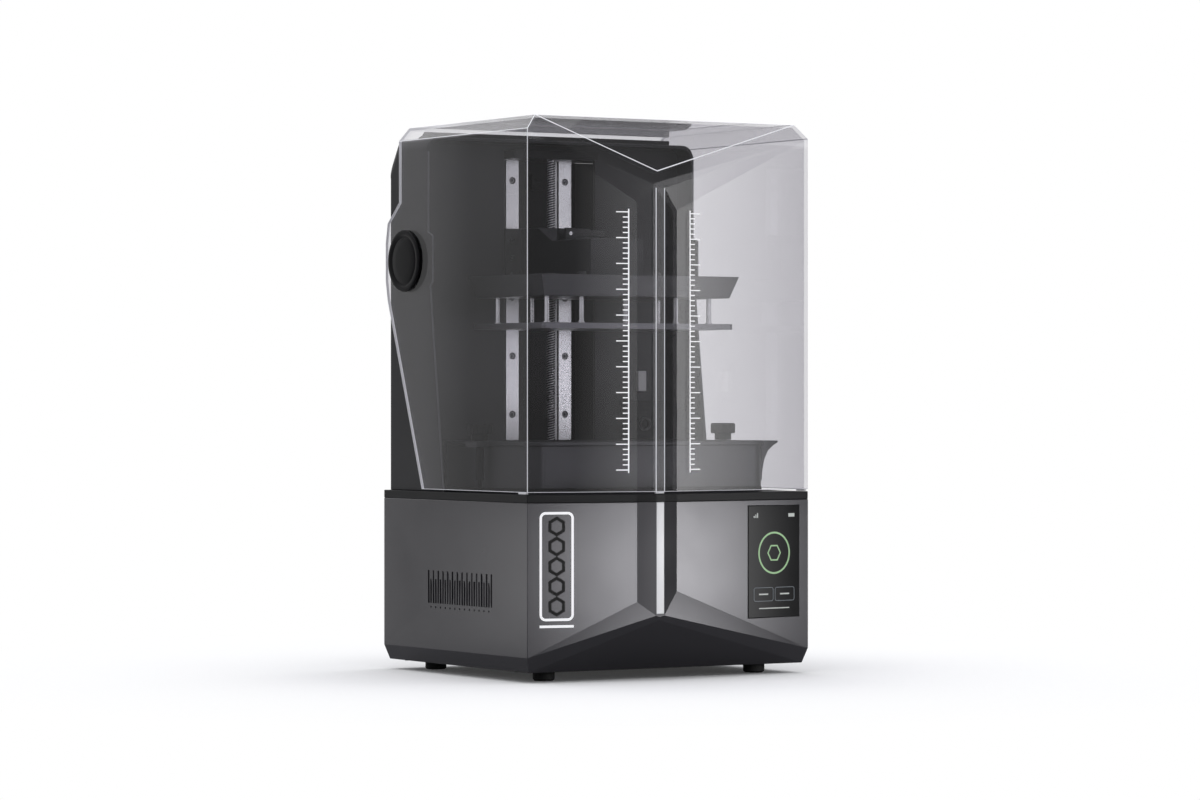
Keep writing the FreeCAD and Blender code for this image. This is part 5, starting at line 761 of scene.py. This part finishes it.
# The caps over the lid's two hinges: turned black discs with a groove round a shallow dome, fixed to the
# sides of the lid. With them are the clear soft pads that the lid rests on.
CAP_DEPTH = 3.0 * MM
CAP_SIDES = 96
CAP_PROFILE = np.array([
    (0.0, 0.0), (31.0, 0.0), (31.0, 2.2), (30.6, 2.8), (30.0, 3.0), (26.6, 3.0), (26.0, 2.7), (25.4, 1.7),
    (23.6, 1.5), (22.9, 1.8), (22.3, 2.4), (21.5, 2.6), (14.0, 2.85), (6.0, 2.95), (0.0, 3.0),
]) * MM
cap_black = finish("cap_black", shade(18, 18, 20), 0.42, gloss=0.08, grain=0.5 * MM, depth=0.008 * MM)


def turned(profile, centres, axis, sides=64, ripple=1.0):
    """Surface of revolution: each profile point of radius and height goes once round the axis at each centre.

    Ripple, one number for each profile point and each side, scales the radius.
    """
    radius, height = np.array(profile, float).T
    angle = np.arange(sides) / sides * 2.0 * np.pi
    axis = np.array(axis, float)
    across = np.cross(axis, [0.0, 0.0, 1.0]) if abs(axis[2]) < 0.9 else np.array([1.0, 0.0, 0.0])
    aside = np.cross(axis, across)
    out = np.cos(angle)[:, None] * across + np.sin(angle)[:, None] * aside
    spread = radius[:, None] * np.broadcast_to(ripple, (len(radius), sides))
    ring = spread[..., None] * out + height[:, None, None] * axis
    points = np.asarray(centres, float)[:, None, None, :] + ring
    each = wrapped_grid(len(radius), sides, False, True)
    count = len(radius) * sides
    return points, (each[None] + np.arange(len(points))[:, None, None] * count).reshape(-1, 4)


cap_low, cap_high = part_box("hinge_caps")
cap_y, cap_z = (cap_low.y + cap_high.y) / 2, (cap_low.z + cap_high.z) / 2
caps = mesh_piece("hinge_discs", *joined(
    turned(CAP_PROFILE, [(cap_high.x - CAP_DEPTH, cap_y, cap_z)], (1.0, 0.0, 0.0), CAP_SIDES),
    turned(CAP_PROFILE, [(cap_low.x + CAP_DEPTH, cap_y, cap_z)], (-1.0, 0.0, 0.0), CAP_SIDES),
), cap_black, smooth=True)
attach(caps, "lid")
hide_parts("hinge_caps")
soft_pad = finish("soft_pad", shade(214, 214, 218), 0.4, grain=0.6 * MM, depth=0.02 * MM)
rounded("lid_bumpers", "lid_pads", 0.4 * MM, soft_pad)

# The rear housing inside the lid and its cover behind: dark moulded plastic with a fine grain. The cover
# is a plate screwed to the back of the housing.
housing_dark = finish("housing_dark", shade(34, 34, 37), 0.5, gloss=0.2, grain=1.2 * MM, mottle=0.04)
rounded("rear_housing", "moulded_housing", 0.8 * MM, housing_dark)
rounded("rear_cover", "housing_cover", 0.5 * MM, housing_dark)

# A soft lip along the top of the housing, which the roof of the lid closes down to: a black rubber
# extrusion, glued on.
LIP_REACH = 146.0 * MM
LIP_STEPS = 25
LIP_PROFILE = np.array([
    (100.6, -0.4), (100.6, 5.2), (101.2, 6.0), (102.4, 6.2), (103.6, 6.0), (104.6, 5.0),
    (108.0, 2.6), (115.0, 0.8), (115.0, -0.4),
]) * MM


def bar_faces(rows, around):
    """Faces of a bar made of closed rows of points: its sides and its two ends."""
    ends = [list(range(around)), list(range((rows - 1) * around, rows * around))]
    return wrapped_grid(rows, around, False, True).tolist() + ends


lip_along = np.linspace(-LIP_REACH, LIP_REACH, LIP_STEPS)[:, None]
lip_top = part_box("rear_housing")[1].z
lip_points = np.stack(np.broadcast_arrays(
    lip_along, LIP_PROFILE[None, :, 0], LIP_PROFILE[None, :, 1] + lip_top
), -1)
lip_rubber = finish("lip_rubber", shade(24, 24, 26), 0.6, gloss=0.2, grain=1.0 * MM, mottle=0.12)
housing_lip = mesh_piece("housing_lip", lip_points, bar_faces(LIP_STEPS, len(LIP_PROFILE)), lip_rubber)
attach(housing_lip, "base")

# A slim lighter bead along the front edge of each wing of the housing, a painted highlight where the edge
# catches light, from its foot, round the boss at the hinge, to the top corner.
WING_LINE = np.array([
    (43.0, 182.0), (70.0, 387.0), (65.0, 391.0), (65.0, 437.0), (74.0, 441.0), (74.0, 522.0),
]) * MM
BEAD_SECTION = np.array([
    (157.2, -0.3), (157.2, 0.6), (157.6, 1.0), (158.4, 1.0), (158.8, 0.6), (158.8, -0.3),
]) * MM


def wing_bead(side):
    """Section carried along the front line of a wing: each point of it moves out along the line's mitre."""
    step = np.diff(WING_LINE, axis=0)
    step /= np.linalg.norm(step, axis=1, keepdims=True)
    normal = np.stack([-step[:, 1], step[:, 0]], -1)
    before = np.vstack([normal[:1], normal])
    after = np.vstack([normal, normal[-1:]])
    mitre = (before + after) / (1.0 + (before * after).sum(1, keepdims=True))
    line = WING_LINE[:, None, :] + mitre[:, None, :] * BEAD_SECTION[None, :, 1:]
    across = np.broadcast_to(side * BEAD_SECTION[None, :, :1], (*line.shape[:2], 1))
    return np.concatenate([across, line], -1), bar_faces(len(WING_LINE), len(BEAD_SECTION))


# The bead's lighter grey is a painted highlight along the wing's edge.
wing_edge_highlight = finish("wing_edge_highlight", shade(86, 86, 90), 0.45, gloss=0.2, grain=0.8 * MM, mottle=0.08)
wing_highlight_beads = mesh_piece("wing_highlight_beads", *joined(wing_bead(-1.0), wing_bead(1.0)), wing_edge_highlight)
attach(wing_highlight_beads, "base")

# The lift: a black anodised column with a bridge on top, and two ground steel rails bolted to it with
# socket screws. The small shafts and pins of the machine are of the same bright steel.
RAIL_HOLES = 6
FIRST_HOLE = 14.0 * MM
HOLE_STEP = 60.0 * MM
HOLE_IN = 7.5 * MM
HOLE_FLOOR = 5.0 * MM
RAIL_SCREW = (3.3 * MM, 4.0 * MM)
SCREW_SIDES = 36
SCREW_PROFILE = np.array([
    (0.0, 0.35), (0.46, 0.35), (0.50, 0.95), (0.54, 1.0), (0.84, 1.0), (0.95, 0.95), (1.0, 0.84),
    (1.0, 0.0), (0.0, 0.0),
])
SOCKET_ROWS = slice(1, 4)
column_black = finish(
    "column_black", shade(18, 18, 20), 0.42, metal=0.3, gloss=0.15, grain=0.35 * MM, depth=0.003 * MM,
    stretch=(1.0, 1.0, 0.04),
)
coat(column_black, "z_column", "limit_switch")
rounded("top_bearing_bridge", "lift_bridge", 0.5 * MM, column_black)
rail_steel = finish(
    "rail_steel", shade(212, 212, 215), 0.24, metal=0.8, grain=0.3 * MM, mottle=0.03,
    stretch=(1.0, 1.0, 0.03),
)
coat(rail_steel, "linear_rails", "screw_bearing", "hinge_shafts", "tilt_hinge_pins", "tilt_push_rod")
coat(rail_steel, "lever_pin", "guide_pins", "carriage_blocks", "usb_socket")
screw_dark = finish("screw_dark", shade(58, 58, 61), 0.35, metal=0.7, grain=0.25 * MM, depth=0.004 * MM)


def socket_screws(name, centres, axis, size, body, material=screw_dark):
    """Cap screws of a radius and a height: a round head, chamfered at its rim, with a six-sided socket.

    The rows of the socket follow a hexagon: its radius at an angle is that of its flats over the cosine of
    the angle from the middle of the nearest flat.
    """
    turn = np.arange(SCREW_SIDES) / SCREW_SIDES * 2.0 * np.pi
    six = math.cos(math.pi / 6) / np.cos((turn + math.pi / 6) % (math.pi / 3) - math.pi / 6)
    ripple = np.ones((len(SCREW_PROFILE), SCREW_SIDES))
    ripple[SOCKET_ROWS] = six
    heads = turned(SCREW_PROFILE * np.array(size), centres, axis, SCREW_SIDES, ripple)
    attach(mesh_piece(name, *heads, material), body)


rail_low, rail_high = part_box("linear_rails")
hole_z = rail_low.z + FIRST_HOLE + HOLE_STEP * np.arange(RAIL_HOLES)
hole_x = np.array([rail_low.x + HOLE_IN, rail_high.x - HOLE_IN])
rail_spots = np.stack([*np.meshgrid(hole_x, [rail_low.y + HOLE_FLOOR], hole_z)], -1).reshape(-1, 3)
screw_bright = finish("screw_bright", shade(128, 128, 131), 0.35, metal=0.7, grain=0.25 * MM)
socket_screws("rail_screws", rail_spots, (0.0, -1.0, 0.0), RAIL_SCREW, "base", screw_bright)

# The lead screw: ground steel with a two-start trapezoidal thread, clamped in its coupling above the
# motor. It runs in a brass nut on the carriage.
SCREW_PITCH = 2.5 * MM
SCREW_STARTS = 2
THREAD_DEPTH = 1.0 * MM
THREAD_ROWS = 8
THREAD_SIDES = 32
THREAD_PHASE = (0.0, 0.32, 0.5, 0.82, 1.0)
THREAD_DIP = (0.0, 0.0, 1.0, 1.0, 0.0)


def threaded_rod(node):
    """Rod whose radius dips in a trapezoidal groove that climbs one lead for each turn."""
    low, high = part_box(node)
    radius = (high.x - low.x) / 2
    rows = int((high.z - low.z) / SCREW_PITCH * THREAD_ROWS)
    height = np.linspace(0.0, high.z - low.z, rows)
    turn = np.arange(THREAD_SIDES) / THREAD_SIDES
    phase = (height[:, None] / SCREW_PITCH - SCREW_STARTS * turn[None, :]) % 1.0
    groove = np.interp(phase, THREAD_PHASE, THREAD_DIP)
    groove[[0, -1]] = 1.0
    profile = np.column_stack([np.full(rows, radius), height])
    closed = np.vstack([[(0.0, 0.0)], profile, [(0.0, height[-1])]])
    pole = np.ones(THREAD_SIDES)
    ripple = np.vstack([pole, 1.0 - groove * THREAD_DEPTH / radius, pole])
    centre = [((low.x + high.x) / 2, (low.y + high.y) / 2, low.z)]
    return turned(closed, centre, (0.0, 0.0, 1.0), THREAD_SIDES, ripple)


def groove_share(rod, node):
    """How deep each point of the rod lies in the groove, from its distance to the rod's axis."""
    low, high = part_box(node)
    spots = np.empty(len(rod.data.vertices) * 3)
    rod.data.vertices.foreach_get("co", spots)
    axis = np.array([(low.x + high.x) / 2, (low.y + high.y) / 2])
    reach = np.hypot(*(spots.reshape(-1, 3)[:, :2] - axis).T)
    return np.clip(((high.x - low.x) / 2 - reach) / THREAD_DEPTH, 0.0, 1.0)


def thread_steel():
    """Ground steel, bright on the crests, with painted shade in the groove by how deep a point lies."""
    material = finish("thread_steel", shade(206, 206, 208), 0.28, metal=0.8, grain=0.3 * MM, mottle=0.03)
    tree = material.node_tree
    surface = tree.nodes["Principled BSDF"]
    crest = surface.inputs["Base Color"].links[0].from_socket
    deep = tree.nodes.new("ShaderNodeAttribute")
    deep.attribute_name = "groove"
    # Painted shade: the colour darkens towards the bottom of the groove.
    painted_groove_shade = tree.nodes.new("ShaderNodeMix")
    painted_groove_shade.data_type = "RGBA"
    painted_groove_shade.inputs["B"].default_value = shade(54, 54, 55)
    tree.links.new(deep.outputs["Fac"], painted_groove_shade.inputs["Factor"])
    tree.links.new(crest, painted_groove_shade.inputs["A"])
    tree.links.new(painted_groove_shade.outputs["Result"], surface.inputs["Base Color"])
    return material


thread = mesh_piece("threaded_screw", *threaded_rod("lead_screw"), thread_steel(), smooth=True)
point_values(thread, "groove", groove_share(thread, "lead_screw"))
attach(thread, "screw")
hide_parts("lead_screw")
bare_metal = finish("bare_metal", shade(150, 150, 154), 0.36, metal=0.8, grain=0.4 * MM, depth=0.008 * MM)
coat(bare_metal, "motor_coupling", "chassis_plate", "tilt_plate", "uv_heatsink")
nut_brass = finish("nut_brass", shade(190, 152, 84), 0.32, metal=0.9, grain=0.3 * MM, depth=0.006 * MM)
coat(nut_brass, "lead_nut")

# The carriage: a cast aluminium arm and a milled head, bead-blasted and anodised dark grey, held with
# socket screws, and a release lever pinned to the arm.
HEAD_SCREW = (4.2 * MM, 4.0 * MM)
HEAD_SCREW_X = (-44.0 * MM, 44.0 * MM)
HEAD_SCREW_Y = (-34.0 * MM, 26.0 * MM)
ARM_SCREW = (2.8 * MM, 2.6 * MM)
ARM_SCREW_X = (-42.0 * MM, 42.0 * MM)
ARM_SCREW_UP = (12.0 * MM, 30.0 * MM, 48.0 * MM)
ARM_PLATE = 5.0 * MM
anodised_grey = finish(
    "anodised_grey", shade(44, 44, 47), 0.42, metal=0.35, gloss=0.4, grain=0.4 * MM, depth=0.005 * MM
)
rounded(
    "arm_casting", "carriage_arm", 0.7 * MM, anodised_grey, groove=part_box("release_lever")
)
rounded("platform_head", "plate_head", 0.5 * MM, anodised_grey)
rounded("release_lever", "arm_lever", 0.6 * MM, anodised_grey)
coat(anodised_grey, "hinge_brackets", "tilt_hinge_brackets")
arm_low, arm_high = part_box("arm_casting")
head_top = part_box("platform_head")[1].z
head_spots = [(x, y, head_top) for x in HEAD_SCREW_X for y in HEAD_SCREW_Y]
socket_screws("head_screws", head_spots, (0.0, 0.0, 1.0), HEAD_SCREW, "carriage")
arm_spots = [(x, arm_high.y - ARM_PLATE, arm_low.z + up) for x in ARM_SCREW_X for up in ARM_SCREW_UP]
socket_screws("carriage_screws", arm_spots, (0.0, -1.0, 0.0), ARM_SCREW, "carriage")

# The build plate: milled aluminium with a fine blasted face, hung on pins and pushed down by springs
# wound from round steel wire.
SPRING_RADIUS = 2.3 * MM
SPRING_GAP = 40.0 * MM
SPRING_TURNS = 5
SPRING_STEPS = 90
WIRE = 0.35 * MM
WIRE_SIDES = 8
plate_metal = finish("plate_metal", shade(104, 104, 108), 0.42, metal=0.7, grain=0.5 * MM, depth=0.01 * MM)
rounded("build_plate", "milled_plate", 0.5 * MM, plate_metal)


def wound_springs(node):
    """Round wire carried along a helix: a circle of wire about each point of it, in its radial plane."""
    low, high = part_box(node)
    first, last = low.x + SPRING_RADIUS, high.x - SPRING_RADIUS
    x = np.array([first, first + SPRING_GAP, last - SPRING_GAP, last])
    y = np.array([low.y + SPRING_RADIUS, high.y - SPRING_RADIUS])
    centres = np.stack([*np.meshgrid(x, y, [0.0])], -1).reshape(-1, 3)
    turn = np.linspace(0.0, 2.0 * np.pi * SPRING_TURNS, SPRING_STEPS)[:, None]
    around = (np.arange(WIRE_SIDES) / WIRE_SIDES * 2.0 * np.pi)[None, :]
    reach = SPRING_RADIUS - WIRE + WIRE * np.cos(around)
    climb = np.linspace(low.z + WIRE, high.z - WIRE, SPRING_STEPS)[:, None]
    wire = np.stack([reach * np.cos(turn), reach * np.sin(turn), climb + WIRE * np.sin(around)], -1)
    return joined(*[(centre + wire, bar_faces(SPRING_STEPS, WIRE_SIDES)) for centre in centres])


springs = mesh_piece("wound_springs", *wound_springs("plate_springs"), rail_steel, smooth=True)
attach(springs, "carriage")
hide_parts("plate_springs")
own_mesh(springs)

# The vat: a die-cast tub with a rolled rim and a pouring spout, anodised dark grey. A black frame
# screwed under it holds its film, and the bezel round the display is of the same black.
rounded("vat_body", "cast_vat", 0.6 * MM, anodised_grey)
coat(deck_black, "vat_film_frame", "lcd_bezel")

# The two thumb screws that hold the vat down: moulded black knobs with scalloped grips, each on a sleeve
# with a thread at its foot.
KNOB_WAVES = 10
KNOB_SIDES = 120
KNOB_DIP = 0.10
SLEEVE_UP = 12.0 * MM
COLLAR_UP = 0.3 * MM
GRIP_DEPTH = 10.5 * MM


def thumb_screw(node):
    """Turned knob whose grip dips in even waves round its rim. Rows give radius, height and grip."""
    low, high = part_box(node)
    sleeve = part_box("lcd_bezel")[1].z + SLEEVE_UP
    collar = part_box("vat_body")[1].z + COLLAR_UP
    grip = high.z - GRIP_DEPTH
    rows = np.array([
        (0.0, low.z, 0), (2.0 * MM, low.z, 0), (2.0 * MM, sleeve, 0), (4.3 * MM, sleeve, 0),
        (4.3 * MM, collar, 0), (8.1 * MM, collar, 0), (8.5 * MM, collar + 0.5 * MM, 0),
        (8.5 * MM, grip, 0), (11.4 * MM, grip, 1), (12.3 * MM, grip + 0.5 * MM, 1),
        (12.5 * MM, grip + 1.4 * MM, 1), (12.5 * MM, high.z - 1.8 * MM, 1),
        (12.1 * MM, high.z - 0.7 * MM, 1), (11.2 * MM, high.z - 0.1 * MM, 1),
        (9.4 * MM, high.z, 0), (8.8 * MM, high.z - 0.6 * MM, 0), (0.0, high.z - 0.6 * MM, 0),
    ])
    profile = rows[:, :2] - np.array([0.0, low.z])
    wave = 0.5 - 0.5 * np.cos(KNOB_WAVES * np.arange(KNOB_SIDES) / KNOB_SIDES * 2.0 * np.pi)
    ripple = 1.0 - np.outer(rows[:, 2], KNOB_DIP * wave ** 2)
    centre = [((low.x + high.x) / 2, (low.y + high.y) / 2, low.z)]
    return turned(profile, centre, (0.0, 0.0, 1.0), KNOB_SIDES, ripple)


for side in ("left", "right"):
    knob = mesh_piece("thumb_screw_" + side, *thumb_screw("vat_knob_" + side), cap_black)
    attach(knob, "knob_" + side)
    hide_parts("vat_knob_" + side)

# The display under the vat, the film over it and the light engine below: dark glass, clear sheets, black
# mouldings and green circuit boards, one above the other. The fans and the electrics are black too.
coat(screen_glass, "lcd_panel")


def clear_sheet(name, colour, rough):
    """Clear plastic, faintly uneven, that a lamp's shadow ray passes."""
    material = finish(name, colour, rough, mottle=0.02)
    tree = material.node_tree
    clear = tree.nodes["Principled BSDF"]
    clear.inputs["Transmission Weight"].default_value = 1.0
    passed = tree.nodes.new("ShaderNodeBsdfTransparent")
    passed.inputs["Color"].default_value = colour
    sheet = mixed(tree, seen_by(tree, "Is Shadow Ray"), clear, passed)
    tree.links.new(sheet.outputs[0], tree.nodes["Material Output"].inputs["Surface"])
    return material


coat(clear_sheet("release_film", shade(236, 238, 242), 0.08), "release_film")
coat(clear_sheet("lens_sheet", shade(232, 236, 240), 0.15), "uv_lens")
coat(deck_black, "light_shroud", "uv_fan_frame", "uv_fan_rotor", "rear_fan_frame", "rear_fan_rotor")
coat(deck_black, "power_supply", "power_inlet", "power_switch_case")
board_green = finish("board_green", shade(34, 92, 62), 0.4, grain=0.6 * MM, mottle=0.15)
coat(board_green, "mainboard", "uv_led_board")

# The camera and the lamp on the panel of the housing: a moulded black case with a glass lens in a metal
# ring, and a white plastic diffuser, both fixed to the panel's front.
LENS_RING = np.array([
    (5.0, 0.0), (7.0, 0.0), (7.0, 2.3), (6.7, 2.8), (6.2, 3.0), (5.6, 3.0), (5.2, 2.6), (5.0, 1.6),
    (5.0, 0.0),
]) * MM
LENS_DOME = np.array([
    (0.0, 0.0), (4.95, 0.0), (4.95, 1.0), (4.0, 1.7), (2.8, 2.2), (1.4, 2.5), (0.0, 2.6),
]) * MM
FORWARD = (0.0, -1.0, 0.0)
rounded("camera_module", "camera_case", 1.2 * MM, deck_black)
lens_low, lens_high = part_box("camera_lens")
lens_seat = [((lens_low.x + lens_high.x) / 2, lens_high.y, (lens_low.z + lens_high.z) / 2)]
lens_ring = mesh_piece("lens_ring", *turned(LENS_RING, lens_seat, FORWARD), screw_dark, smooth=True)
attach(lens_ring, "base")
lens_dome = mesh_piece("lens_dome", *turned(LENS_DOME, lens_seat, FORWARD), screen_glass, smooth=True)
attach(lens_dome, "base")
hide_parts("camera_lens")
lamp_white = finish("lamp_white", shade(206, 206, 204), 0.45, grain=0.6 * MM)
rounded("chamber_lamp", "lamp_diffuser", 0.6 * MM, lamp_white)

# The back: a moulded rocker on its pin beside the mains inlet, and the small steel screws that hold the
# rear cover and the pan.
SMALL_SCREW = (2.8 * MM, 1.6 * MM)
COVER_SIDE = 9.0 * MM
COVER_FOOT = 10.0 * MM
COVER_HEAD = 22.0 * MM
COVER_ROWS = 4
PAN_SIDE = 10.0 * MM
PAN_FRONT = 40.0 * MM
PAN_BACK = 12.0 * MM
rounded("power_switch_rocker", "switch_rocker", 0.4 * MM, cap_black)
cover_low, cover_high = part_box("rear_cover")
cover_x = [cover_low.x + COVER_SIDE, 0.0, cover_high.x - COVER_SIDE]
cover_z = np.linspace(cover_low.z + COVER_FOOT, cover_high.z - COVER_HEAD, COVER_ROWS)
cover_spots = [(x, cover_high.y, z) for x in cover_x for z in cover_z if x or z == cover_z[0]]
socket_screws("cover_screws", cover_spots, (0.0, 1.0, 0.0), SMALL_SCREW, "base")
pan_low, pan_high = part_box("bottom_pan")
pan_x = [pan_low.x + PAN_SIDE, 0.0, pan_high.x - PAN_SIDE]
pan_y = [pan_low.y + PAN_FRONT, pan_high.y - PAN_BACK]
pan_spots = [(x, y, pan_low.z) for x in pan_x for y in pan_y]
socket_screws("pan_screws", pan_spots, (0.0, 0.0, -1.0), SMALL_SCREW, "base")
